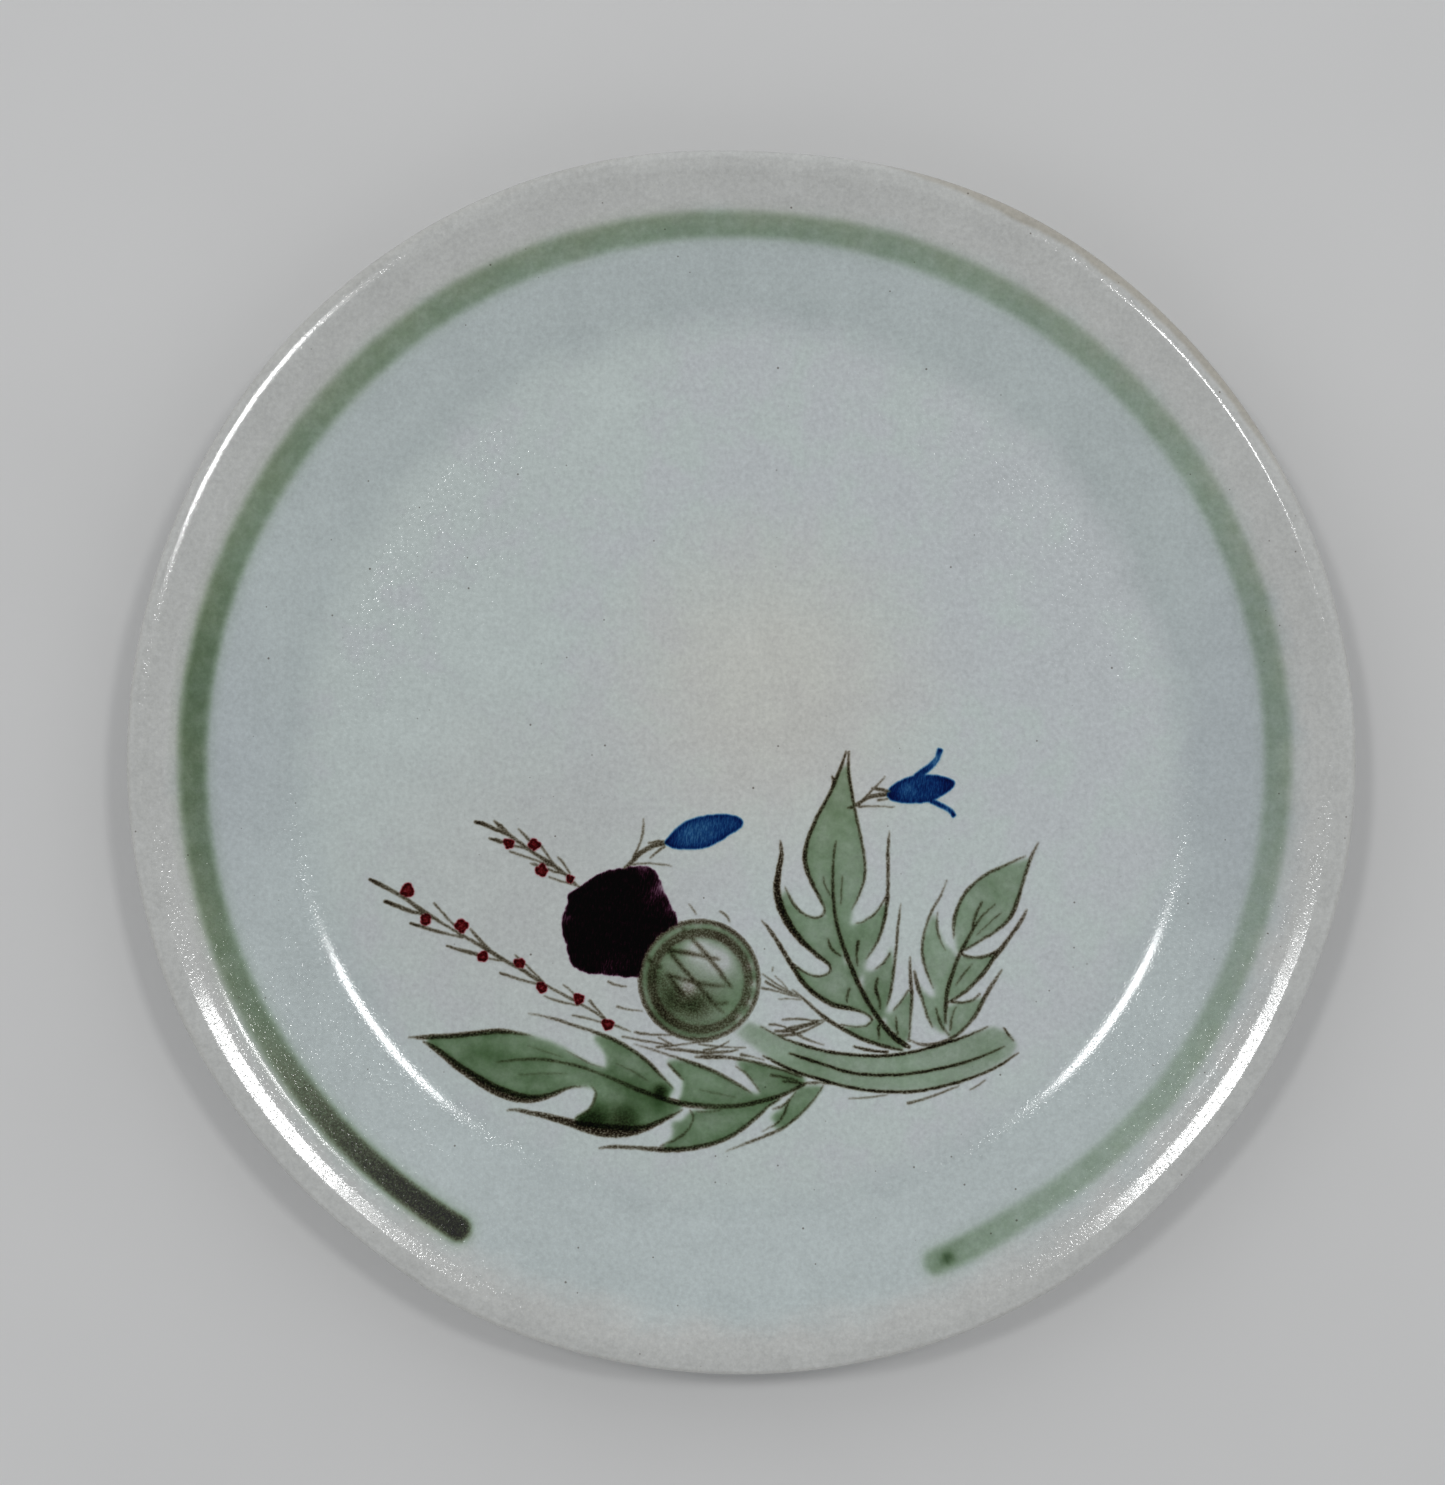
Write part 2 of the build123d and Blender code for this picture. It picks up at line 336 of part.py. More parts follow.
BLUEBELL_STALKS = [
    [(-24.7, -23, 0.6), (-23, -21.5, 0.8), (-21.5, -19.9, 1.0), (-19, -18.4, 0.9), (-16, -17.5, 0.9)],
    [(-22.8, -20.8, 0.4), (-21.4, -18, 0.4), (-20.6, -15, 0.4), (-20.5, -12.3, 0.2)],
    [(-19.5, -17.6, 0.4), (-17.8, -17.2, 0.4), (-16, -17.1, 0.3)],
    [(-16, -18.2, 0.4), (-17.8, -19.5, 0.4), (-19.2, -20.8, 0.3)],
    [(-23, -22.1, 0.3), (-20, -21.8, 0.3), (-17, -22, 0.3), (-14.5, -22.4, 0.2)],
    [(22.3, -10.2, 0.3), (24, -9.7, 0.8), (26, -8.4, 0.6), (28, -7.6, 0.8), (30.8, -7.3, 0.9)],
    [(24.5, -9.6, 0.5), (27, -7, 0.4), (29, -5, 0.3), (30.3, -3.5, 0.2)],
    [(27.4, -6, 0.4), (29, -6.2, 0.6), (31.5, -6.8, 0.4)],
    [(24.5, -9.9, 0.4), (28, -9.8, 0.3), (32.3, -10, 0.2)],
    [(28.6, -8.6, 0.4), (29.8, -8.4, 0.4), (31, -8.2, 0.3)],
]

SPRIG_UPPER = [
    [(-56.1, -13.1, 0.3), (-54.5, -13.4, 0.7), (-52, -14.5, 0.7), (-49.5, -15.6, 0.6), (-47, -17.1, 0.6),
     (-44.8, -18.8, 0.7), (-42, -20.6, 0.7), (-39.5, -22.2, 0.8), (-37.2, -23.9, 0.6), (-35.2, -25.7, 0.5),
     (-33.8, -27, 0.4)],
    [(-52, -12.8, 0.3), (-50.6, -14, 0.8), (-49.2, -15.1, 0.4), (-47.6, -16.5, 0.4)],
    [(-53.1, -16.5, 0.3), (-51, -17.1, 0.8), (-49.5, -17.6, 0.5), (-47, -18.3, 0.4), (-45, -18.8, 0.3)],
    [(-46.9, -14.5, 0.2), (-45.5, -15.9, 0.6), (-44.3, -17.3, 0.4)],
    [(-48.8, -19.2, 0.3), (-45.5, -20.4, 0.4), (-42.5, -21.4, 0.4), (-40, -22.4, 0.3)],
    [(-42.2, -18, 0.4), (-40.8, -19.9, 0.4), (-39.4, -22, 0.3)],
    [(-44.4, -21.8, 0.3), (-43.2, -22.1, 0.6), (-42.2, -22.6, 0.4)],
    [(-41, -22.8, 0.3), (-39.4, -23.5, 0.4), (-37.4, -24, 0.3)],
    [(-38.6, -20.4, 0.3), (-37.3, -21.8, 0.4), (-35.9, -24.2, 0.3)],
    [(-40.4, -24.6, 0.3), (-38, -25.5, 0.3), (-34.6, -26.5, 0.3)],
]

SPRIG_LOWER = [
    [(-78.3, -25.1, 0.3), (-76, -26.2, 0.8), (-73, -27.8, 0.7), (-70, -29.6, 0.8), (-67, -31.8, 0.9),
     (-63.5, -34, 0.6), (-60.5, -35.8, 0.5), (-58, -37.3, 0.5), (-55, -39, 0.6), (-52, -40.8, 0.8),
     (-49, -42.6, 0.7), (-46, -44.2, 0.7), (-43, -46.2, 0.6), (-40, -48, 0.5), (-36.5, -49.9, 0.5),
     (-33.4, -51.6, 0.4), (-30.6, -53.2, 0.4), (-28, -55.1, 0.4), (-25, -56.5, 0.4), (-23.2, -57.2, 0.2)],
    [(-75, -29.7, 0.5), (-72, -30.9, 0.8), (-69, -32, 0.7), (-66, -32.6, 0.4)],
    [(-69.7, -34.4, 0.3), (-67.5, -35, 0.7), (-65, -35.8, 0.6), (-62, -36.6, 0.5), (-58.3, -37.4, 0.4)],
    [(-64.6, -30.1, 0.3), (-62.5, -32.5, 0.4), (-60.3, -34.8, 0.4)],
    [(-57, -35.5, 0.4), (-55, -37.8, 0.6), (-52.5, -40.4, 0.5)],
    [(-62, -39.1, 0.3), (-59.5, -39.9, 0.6), (-56, -40.8, 0.7), (-53, -41.8, 0.4), (-50, -42.3, 0.3)],
    [(-47.7, -41, 0.2), (-46.9, -41.6, 0.4), (-46, -42.4, 0.3)],
    [(-45.8, -42.6, 0.3), (-43.5, -44.8, 0.4), (-41.4, -47, 0.3)],
    [(-50.8, -44.8, 0.3), (-47.5, -45.9, 0.5), (-44, -46.9, 0.4), (-42, -47.2, 0.3)],
    [(-41.6, -49.6, 0.2), (-38, -50.9, 0.4), (-34, -51.7, 0.3)],
    [(-37.5, -47.2, 0.2), (-36.2, -48.2, 0.3), (-34.8, -49.6, 0.3)],
    [(-32, -50.5, 0.5), (-30, -52.8, 0.4), (-28.2, -54.9, 0.3)],
    [(-35.5, -53.7, 0.3), (-32, -54.5, 0.4), (-29, -55.3, 0.3)],
]

# (x, y, radius) of each dab
HEATHER_BERRIES = [
    (-48.8, -17.7, 1.1), (-43.5, -17.8, 1.2), (-42, -23.3, 1.3), (-35.9, -25.1, 0.9),
    (-70.2, -27.5, 1.4), (-66.3, -33.6, 1.2), (-58.7, -34.9, 1.4), (-54.3, -41.4, 1.1),
    (-46.6, -42.8, 1.1), (-41.9, -47.9, 1.1), (-34.1, -50.3, 1.1), (-28, -55.7, 1.2),
]


# ---------------------------------------------------------------- flat shapes
def smooth(points):
    """Points along a Catmull-Rom curve through the given points, whatever each point holds."""
    ends = [points[0], *points, points[-1]]
    curve = []
    for before, start, end, after in zip(ends, ends[1:], ends[2:], ends[3:]):
        for step in range(CURVE_STEPS):
            t = step / CURVE_STEPS
            curve.append(
                tuple(
                    b + 0.5 * t * (c - a + t * (2 * a - 5 * b + 4 * c - d + t * (3 * (b - c) + d - a)))
                    for a, b, c, d in zip(before, start, end, after)
                )
            )
    curve.append(tuple(points[-1]))
    return curve


def brush_mark(points):
    """The flat outline of one brush mark: a smooth line as wide as its points say."""
    line = smooth(points)
    left = []
    right = []
    for (x0, y0, _), (x, y, width), (x1, y1, _) in zip([line[0], *line], line, [*line[1:], line[-1]]):
        across = Vector(y0 - y1, x1 - x0).normalized() * (width / 2)
        left.append(Vector(x, y) + across)
        right.append(Vector(x, y) - across)
    return make_face(Polyline(*left, *reversed(right), close=True))


def wash(sides):
    """A patch of thin colour: smooth sides that meet at corners."""
    outline = [point for side in sides for point in smooth(side)]
    return make_face(Polyline(*outline, close=True))


def blob(points):
    """A rounded patch of colour."""
    wrapped = [*points[-2:], *points, *points[:2]]
    outline = smooth(wrapped)[2 * CURVE_STEPS:-2 * CURVE_STEPS - 1]
    return make_face(Polyline(*outline, close=True))


def dab(x, y, radius):
    """One round touch of the brush."""
    return Pos(x, y) * Circle(radius)


def ring(centre, radius, width):
    """A round brush line."""
    return Pos(*centre) * (Circle(radius + width / 2) - Circle(radius - width / 2))


# ---------------------------------------------------------------- clay and glaze
def plate_section():
    """Half section of the finished plate, clay and glaze together."""
    face = make_face(
        Polyline(
            (0, WELL_HEIGHT),
            (WELL_RADIUS, WELL_HEIGHT),
            (CREST_RADIUS, PLATE_HEIGHT),
            (PLATE_RADIUS, PLATE_HEIGHT),
            (PLATE_RADIUS, PLATE_HEIGHT - LIP_THICKNESS),
            (FOOT_OUTER_RADIUS, FOOT_SHOULDER),
            (FOOT_OUTER_RADIUS, 0),
            (FOOT_OUTER_RADIUS - FOOT_WIDTH, 0),
            (FOOT_OUTER_RADIUS - FOOT_WIDTH - RECESS_DRAFT, RECESS_HEIGHT),
            (0, RECESS_HEIGHT),
            close=True,
        )
    )
    fillets = {
        (WELL_RADIUS, WELL_HEIGHT): WELL_FILLET,
        (CREST_RADIUS, PLATE_HEIGHT): CREST_FILLET,
        (PLATE_RADIUS, PLATE_HEIGHT): LIP_FILLET,
        (PLATE_RADIUS, PLATE_HEIGHT - LIP_THICKNESS): LIP_FILLET,
        (FOOT_OUTER_RADIUS, FOOT_SHOULDER): SHOULDER_FILLET,
        (FOOT_OUTER_RADIUS, 0): FOOT_FILLET,
        (FOOT_OUTER_RADIUS - FOOT_WIDTH, 0): FOOT_FILLET,
        (FOOT_OUTER_RADIUS - FOOT_WIDTH - RECESS_DRAFT, RECESS_HEIGHT): RECESS_FILLET,
    }
    for (x, y), radius in fillets.items():
        corner = face.vertices().sort_by_distance((x, y))[0]
        face = fillet(corner, radius)
    return face


def clay_section(plate):
    """The clay inside the glaze, bare at the bottom of the foot ring."""
    whole = plate + mirror(plate, Plane.YZ)
    inside = offset(whole, -GLAZE_THICKNESS)
    right_half = Pos(PLATE_RADIUS, 0) * Rectangle(2 * PLATE_RADIUS, 4 * PLATE_HEIGHT)
    below_glaze = Pos(PLATE_RADIUS, BARE_FOOT - PLATE_HEIGHT) * Rectangle(2 * PLATE_RADIUS, 2 * PLATE_HEIGHT)
    return (inside & right_half) + (plate & below_glaze)


def turned(section):
    """The solid that a half section sweeps round the plate's axis."""
    return revolve(Plane.XZ * section, Axis.Z)


def rim_band():
    """The broad band brushed round the wall, most of a turn, open at the bottom of the decoration."""
    path = CenterArc(BAND_CENTRE, BAND_RADIUS, BAND_START, BAND_SWEEP)
    footprint = extrude(SlotArc(path, BAND_WIDTH), PLATE_HEIGHT)
    slope = (PLATE_HEIGHT - WELL_HEIGHT) / (CREST_RADIUS - WELL_RADIUS)
    reach = 2 * BAND_WIDTH
    inner = BAND_RADIUS - reach
    outer = BAND_RADIUS + reach
    wall_inner = WELL_HEIGHT + (inner - WELL_RADIUS) * slope
    wall_outer = WELL_HEIGHT + (outer - WELL_RADIUS) * slope
    skin = make_face(
        Polyline(
            (inner, wall_inner),
            (outer, wall_outer),
            (outer, wall_outer + BAND_THICKNESS),
            (inner, wall_inner + BAND_THICKNESS),
            close=True,
        )
    )
    return footprint & turned(skin)


# ---------------------------------------------------------------- painted marks
def painted_marks():
    """Each painted node's flat shape, from the top layer of paint down, and its thickness."""
    return {
        "heather_berries": (LINE_THICKNESS, [dab(*berry) for berry in HEATHER_BERRIES]),
        "bluebell_stalks": (LINE_THICKNESS, [brush_mark(mark) for mark in BLUEBELL_STALKS]),
        "bluebell_left": (WASH_THICKNESS, [blob(BLUEBELL_LEFT)]),
        "bluebell_right": (WASH_THICKNESS, [blob(BLUEBELL_RIGHT), *map(brush_mark, BLUEBELL_PETALS)]),
        "heather_sprig_upper": (LINE_THICKNESS, [brush_mark(mark) for mark in SPRIG_UPPER]),
        "heather_sprig_lower": (LINE_THICKNESS, [brush_mark(mark) for mark in SPRIG_LOWER]),
        "bulb_outline": (
            LINE_THICKNESS,
            [ring(BULB_CENTRE, BULB_RADIUS, BULB_LINE), ring(INNER_RING_CENTRE, INNER_RING_RADIUS, INNER_RING_WIDTH)],
        ),
        "bulb_hatching": (LINE_THICKNESS, [brush_mark(mark) for mark in BULB_HATCHING]),
        "thistle_bulb": (WASH_THICKNESS, [Pos(*BULB_CENTRE) * Circle(BULB_RADIUS)]),
        "thistle_flower": (LINE_THICKNESS, [blob(THISTLE_FLOWER)]),
        "leaf_low_lines": (LINE_THICKNESS, [brush_mark(mark) for mark in LEAF_LOW_LINES]),
        "leaf_tall_lines": (LINE_THICKNESS, [brush_mark(mark) for mark in LEAF_TALL_LINES]),
        "leaf_right_lines": (LINE_THICKNESS, [brush_mark(mark) for mark in LEAF_RIGHT_LINES]),
        "stem_lines": (LINE_THICKNESS, [brush_mark(mark) for mark in STEM_LINES]),
        "grass_strokes": (LINE_THICKNESS, [brush_mark(mark) for mark in GRASS_STROKES]),
        "leaf_low_wash": (WASH_THICKNESS, [wash(sides) for sides in LEAF_LOW_WASH]),
        "leaf_tall_wash": (WASH_THICKNESS, [wash(sides) for sides in LEAF_TALL_WASH]),
        "leaf_right_wash": (WASH_THICKNESS, [wash(sides) for sides in LEAF_RIGHT_WASH]),
        "stem_wash": (WASH_THICKNESS, [wash(sides) for sides in STEM_WASH]),
    }


def near(a, b):
    """Whether two flat shapes' boxes touch."""
    box = a.bounding_box()
    other = b.bounding_box()
    return (
        box.min.X <= other.max.X
        and other.min.X <= box.max.X
        and box.min.Y <= other.max.Y
        and other.min.Y <= box.max.Y
    )


def paint_nodes():
    """Lay the marks on the well. A lower layer stops at the edge of every mark above it."""
    nodes = {}
    above = []
    for name, (thickness, faces) in painted_marks().items():
        shape = Sketch() + faces
        for upper in above:
            if near(shape, upper):
                shape = shape - upper
        above.append(shape)
        nodes[name] = Pos(0, 0, WELL_HEIGHT) * extrude(shape, thickness)
    return nodes


def build():
    """Every node of the plate by name."""
    plate = plate_section()
    clay = clay_section(plate)
    glaze = (plate - clay).faces().sort_by(Axis.Y)
    nodes = {
        "stoneware_body": turned(clay),
        "glaze_foot_recess": turned(glaze[0]),
        "glaze_coat": turned(glaze[-1]),
        "rim_band": rim_band(),
    }
    nodes.update(paint_nodes())
    return nodes


os.makedirs("parts", exist_ok=True)
for node_name, solid in build().items():
    export_step(solid, f"parts/{node_name}.step")
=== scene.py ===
"""Looks of the hand painted stoneware plate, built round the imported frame.

Lengths here are millimetres in the frame's axes; mesh_piece() turns them into metres.
The glaze is one turned skin with a potter's small faults. Every brush mark is a thin skin on it that knows
how much of each pigment lies at each point, so the colours blend where the marks' soft edges meet.
"""

import math

import bpy
import numpy as np
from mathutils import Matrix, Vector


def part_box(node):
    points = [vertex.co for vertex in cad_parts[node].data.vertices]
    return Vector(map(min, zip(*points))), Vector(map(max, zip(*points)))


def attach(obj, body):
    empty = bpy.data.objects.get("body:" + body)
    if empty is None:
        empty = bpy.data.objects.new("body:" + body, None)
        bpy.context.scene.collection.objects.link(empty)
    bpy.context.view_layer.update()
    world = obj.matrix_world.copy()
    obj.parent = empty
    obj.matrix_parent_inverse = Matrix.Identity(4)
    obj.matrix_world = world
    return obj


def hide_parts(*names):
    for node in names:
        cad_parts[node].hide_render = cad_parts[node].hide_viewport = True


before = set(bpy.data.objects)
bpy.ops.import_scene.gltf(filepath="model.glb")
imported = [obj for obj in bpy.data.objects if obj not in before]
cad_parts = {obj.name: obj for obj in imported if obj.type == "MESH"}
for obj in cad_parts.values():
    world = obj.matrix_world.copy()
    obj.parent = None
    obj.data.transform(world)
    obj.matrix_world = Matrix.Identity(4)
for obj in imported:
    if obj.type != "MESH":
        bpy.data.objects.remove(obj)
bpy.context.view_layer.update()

MM = 0.001

# ---------------------------------------------------------------- form of the plate
PLATE_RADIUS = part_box("glaze_coat")[1].x / MM
PLATE_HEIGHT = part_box("glaze_coat")[1].z / MM
WELL_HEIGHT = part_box("stem_wash")[0].z / MM
BARE_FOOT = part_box("glaze_coat")[0].z / MM      # the foot ring is wiped clean of glaze below this
WELL_RADIUS = 92.6
EASING_RADIUS = 119.6           # the steep wall eases here into the last gentle rise
EASED_SLOPE = 18.2
CREST_RADIUS = 123.0
BROW_RADIUS = 125.1             # the flat top of the crest turns down here to the edge
LIP_SLOPE = 11.0                # of the outward fall from the brow to the edge
LIP_THICKNESS = 3.6
FOOT_OUTER_RADIUS = 86.5
FOOT_WIDTH = 6.0
FOOT_SHOULDER = 4.0             # height at which the foot ring meets the plate's back
RECESS_HEIGHT = 4.4
RECESS_DRAFT = 1.0
WELL_FILLET = 27.0
EASING_FILLET = 14.0
CREST_FILLET = 4.0
BROW_FILLET = 8.0
LIP_FILLET = 1.4
SHOULDER_FILLET = 3.0
FOOT_FILLET = 1.2
RECESS_FILLET = 2.5
GLAZE_THICKNESS = 0.35
SECTION_STEP = 0.15             # between points on the section's rounded corners
HIDDEN_THINNING = 4             # the clay face hidden by the glaze keeps one ring in this many
TURNS = 400                     # faces round the plate

# (angle, half width, depth) of the flats and swellings of the hand finished lip, in degrees and mm
LIP_FAULTS = [
    (60, 10, 0.3), (87, 12, -1.2), (115, 14, 0.6), (136, 16, 0.9), (204, 9, 0.6),
    (231, 9, -0.3), (244, 9, 0.45), (316, 10, -0.8), (337, 9, -0.65),
]
FAULT_START = 104.0             # the faults grow from this radius out to the lip
LIP_WARP = 0.1                  # how far the lip rises and falls, twice round the plate
# (angle, half width, slope) where the lip falls away more steeply outside the crest
LIP_DROOP = (30.0, 34.0, 10.0)
DROOP_SOFTNESS = 2.2            # mm over which that steeper fall sets in
# (radius, half width, height) of the rings that the potter's fingers left on the wall
FINGER_RINGS = [(116.6, 0.6, 0.035), (103.5, 2.0, -0.04)]

# ---------------------------------------------------------------- rim band
BAND_CENTRE = (-1.4, -0.4)
BAND_START = -68.0
BAND_SWEEP = 307.4
BAND_REACH = 6.0                # the skin reaches this far each side of the band's middle
BAND_STEP_ALONG = 0.9
BAND_STEP_ACROSS = 0.3
BAND_EDGE = (-1.1, 1.2)         # the green fades out over this, from the band's edge
BAND_CORE_EDGE = (-1.3, 0.4)    # and the iron over this
BAND_HALO = 3.2                 # width of the faint green that bled past the band's edge
BAND_GREEN = 0.88               # share of the green that keeps to the band
HALO_GREEN = 0.13               # and the share that also bled past its edge
BAND_LIFT = 0.02                # how far the skin stands off the glaze, and twice that in the band
# (angle, radius of the band's middle from BAND_CENTRE, half width, green, iron)
BAND_COURSE = [
    (-75, 111.9, 2.35, 1.0, 0.0), (-66, 111.9, 2.35, 0.95, 0.0), (-58, 111.5, 2.35, 0.6, 0.0),
    (-38, 112.9, 2.4, 0.55, 0.0), (-10, 112.8, 2.4, 0.56, 0.0), (4, 112.9, 2.45, 0.68, 0.0),
    (32, 112.9, 2.5, 0.6, 0.0), (60, 112.0, 2.5, 0.66, 0.0), (88, 111.9, 2.5, 0.78, 0.0),
    (116, 111.9, 2.5, 0.84, 0.0), (144, 111.8, 2.5, 0.92, 0.0), (158, 112.1, 2.5, 1.05, 0.0),
    (172, 112.4, 2.5, 1.55, 0.02), (186, 112.4, 2.45, 1.25, 0.04), (200, 112.3, 2.4, 1.02, 0.05),
    (212, 112.2, 2.35, 0.98, 0.12), (222, 112.4, 2.4, 1.2, 0.5), (231, 112.4, 2.4, 1.3, 0.95),
    (240, 112.4, 2.4, 1.4, 1.35),
]
# (angle, across, radius, green) of the dark drop where the band was begun
BAND_DROP = (-66.8, 0.2, 1.15, 2.0)

# ---------------------------------------------------------------- painted decoration
WASH_NODES = ["stem_wash", "leaf_low_wash", "leaf_tall_wash", "leaf_right_wash", "thistle_bulb"]
LEAF_LINE_NODES = ["stem_lines", "leaf_low_lines", "leaf_tall_lines", "leaf_right_lines"]
IRON_NODES = LEAF_LINE_NODES + ["bulb_outline", "bulb_hatching"]
BROWN_NODES = ["grass_strokes", "heather_sprig_upper", "heather_sprig_lower", "bluebell_stalks"]
COBALT_NODES = ["bluebell_left", "bluebell_right"]
RED_NODES = ["heather_berries"]
PURPLE_NODES = ["thistle_flower"]
# how heavily each mark was loaded, where that isn't 1
STRENGTHS = {
    "leaf_low_wash": 1.65,
    "leaf_tall_wash": 1.28,
    "leaf_right_wash": 1.08,
    "thistle_bulb": 1.25,
    "stem_lines": 2.25,
    "leaf_tall_lines": 1.28,
}
# how far in mm a mark's outline strays, and the marks where it strays further
STEADY_HAND = 0.04
UNSTEADINESS = {"heather_berries": 0.11, "thistle_flower": 0.1}
# node lists from the lowest layer of paint up, and the record's slot of each
LAYERS = [
    (WASH_NODES, "leaf_green"),
    (BROWN_NODES, "brown_stroke"),
    (IRON_NODES, "iron_line"),
    (PURPLE_NODES, "purple_black"),
    (COBALT_NODES, "cobalt_blue"),
    (RED_NODES, "berry_red"),
]
PAINTED = [name for names, _ in LAYERS for name in names]

CELL = 0.075                    # of the grid that the marks' soft coverage is worked out on
CANVAS_MARGIN = 5.0
CANVAS_BLOCK = 128              # cells; the canvas is whole blocks wide and high
LINE_STEP = 2                   # cells between two points of a skin of fine lines
WASH_STEP = 4
LINE_SOFTNESS = 0.16            # how softly a skin of fine lines ends
WASH_SOFTNESS = 0.5
SKIN_LIFT = 0.004               # between one skin and the next above it
SKIN_BED = 0.05                 # a skin's underside lies this deep in the glaze
PAINT_BODY = 0.012              # thickness that a full stroke of pigment adds
MOST_BODY = 1.5                 # a pool of paint stands no higher than this many full strokes
OUTLINE_LEVEL = 0.04            # a skin ends where its soft coverage falls to this

# (x, y, radius, change) where a green wash pooled or was left thin
WASH_POOLS = [
    (-16.8, -69.7, 1.6, 1.3), (-17.2, -72.8, 1.8, 0.9), (-24, -74.6, 2.6, 0.9), (-30, -74.9, 2.6, 1.1),
    (-34, -75.2, 2.0, 0.9), (-27, -65.5, 2.2, 0.35), (-52, -62.5, 3.5, 0.45), (-56, -62, 3.0, 0.3),
    (-22, -70.5, 4.0, 0.5), (-13, -69.5, 2.0, 0.5), (15, -65, 3.0, 0.35), (51, -60, 2.6, 0.3),
    (54, -27, 3.4, 0.4), (-9, -40, 2.8, -0.95), (-4.6, -42.4, 3.0, -0.85), (-11, -48, 2.2, -0.95),
    (2.6, -47.2, 1.0, -0.8), (1.9, -51.0, 1.0, -0.8), (-0.4, -54.2, 1.0, -0.7), (1.8, -43.4, 1.0, -0.6),
    (-13, -35.4, 1.1, -0.3), (-8.9, -34.6, 1.1, -0.3), (-5.0, -35.3, 1.1, -0.3), (-16.6, -55.2, 3.0, 0.35),
    (-15, -50, 2.4, 0.7), (-9, -46, 12, -0.13), (-10, -51.5, 3.0, 0.7), (-18.5, -45, 2.2, 0.5),
    (-3, -50, 3.0, 0.3), (21.5, -12, 3.5, 0.25), (17, -20, 2.5, 0.2), (24, -37, 4.0, 0.25),
    (29, -50, 4.0, 0.2), (-2, -57.5, 3.0, -0.3), (-38, -62, 4.0, -0.15), (0, -76, 4.0, 0.1),
    (-44, -66, 4.5, 0.25), (-7, -67, 2.5, -0.15), (48, -44.5, 2.0, 0.2),
]
# the same for iron that ran from the lines into a wash
IRON_POOLS = [
    (-36, -76.5, 2.6, 0.35), (-31, -76.0, 2.4, 0.32), (-25, -76.2, 2.6, 0.3), (-17, -69.8, 1.2, 0.4),
    (-14, -50.5, 3.0, 0.42), (-9.5, -51.5, 3.2, 0.42), (-17, -46.5, 2.2, 0.25), (-9, -46, 11, 0.05),
]
# the same for lines that were drawn lighter or heavier
LINE_POOLS = [(-5, -73, 7, -0.5), (-28, -68, 7, -0.4), (-44, -64.5, 7, -0.4), (20, -4, 8, 0.4)]
# the same for the loaded ends of the sprig strokes
BROWN_POOLS = [
    (-77.7, -25.8, 1.8, 1.3), (-75, -30, 1.6, 1.3), (-69.5, -34.4, 1.6, 1.3), (-61.9, -39.7, 1.4, 0.9),
    (-64.9, -30.6, 1.4, 0.7), (-50.8, -45.4, 1.4, 0.6), (-55.2, -13.2, 1.6, 1.2), (-52, -15.8, 1.4, 0.9),
]
# the same for the ring round the bulb
RING_POOLS = [
    (2.6, -48, 1.0, -0.5), (0.4, -53, 1.1, -0.5), (-17.5, -54, 4.0, 0.35), (-3.4, -36.4, 3.4, 0.3),
]
# the same for the purple-black flower, which is thin along some edges
FLOWER_POOLS = [
    (-16.6, -26.8, 1.9, -0.72), (-14.9, -31.5, 1.6, -0.6), (-20.5, -23.0, 1.7, -0.6),
    (-36.6, -33.5, 1.1, -0.6), (-18.6, -29.0, 2.4, -0.4), (-28, -43.5, 2.0, -0.4), (-25, -43, 1.6, -0.2),
]
# the same for the bluebells, whose side petals are thin
BELL_POOLS = [
    (-1.6, -13, 1.6, -0.1), (-15, -17.4, 1.2, 0.5), (-8, -14.4, 3.4, -0.3), (-11.5, -16, 2.2, -0.25),
    (43, -5, 1.8, 0.5), (38.5, -6.2, 1.6, 0.2), (32, -7.2, 1.4, 0.5), (35, -6.3, 1.8, -0.3),
    (40.5, 0.5, 2.6, -1.05), (43.4, -10.6, 1.8, -0.75), (41.9, 2.2, 0.8, 0.5), (44.6, -11.6, 0.8, 0.5),
]

# ---------------------------------------------------------------- camera and lights
CAMERA_PLACE = (-3.9, 3.6, 622.6)
CAMERA_LENS = 70.54
LIGHT_DISTANCE = 1300.0
LIGHT_DIRECTIONS = [(0.285, 0.202, 0.94), (-0.272, 0.183, 0.94)]
LIGHT_SIZE = (0.16, 0.12)       # metres
LIGHT_POWER = 2.2
FLOOR_HALF = 4.0                # metres from its middle to its edge
FLOOR_DARK = (0.71, 0.71, 0.705)
FLOOR_LIGHT = (0.75, 0.75, 0.745)
SKY_COLOUR = (0.97, 0.98, 1.0)


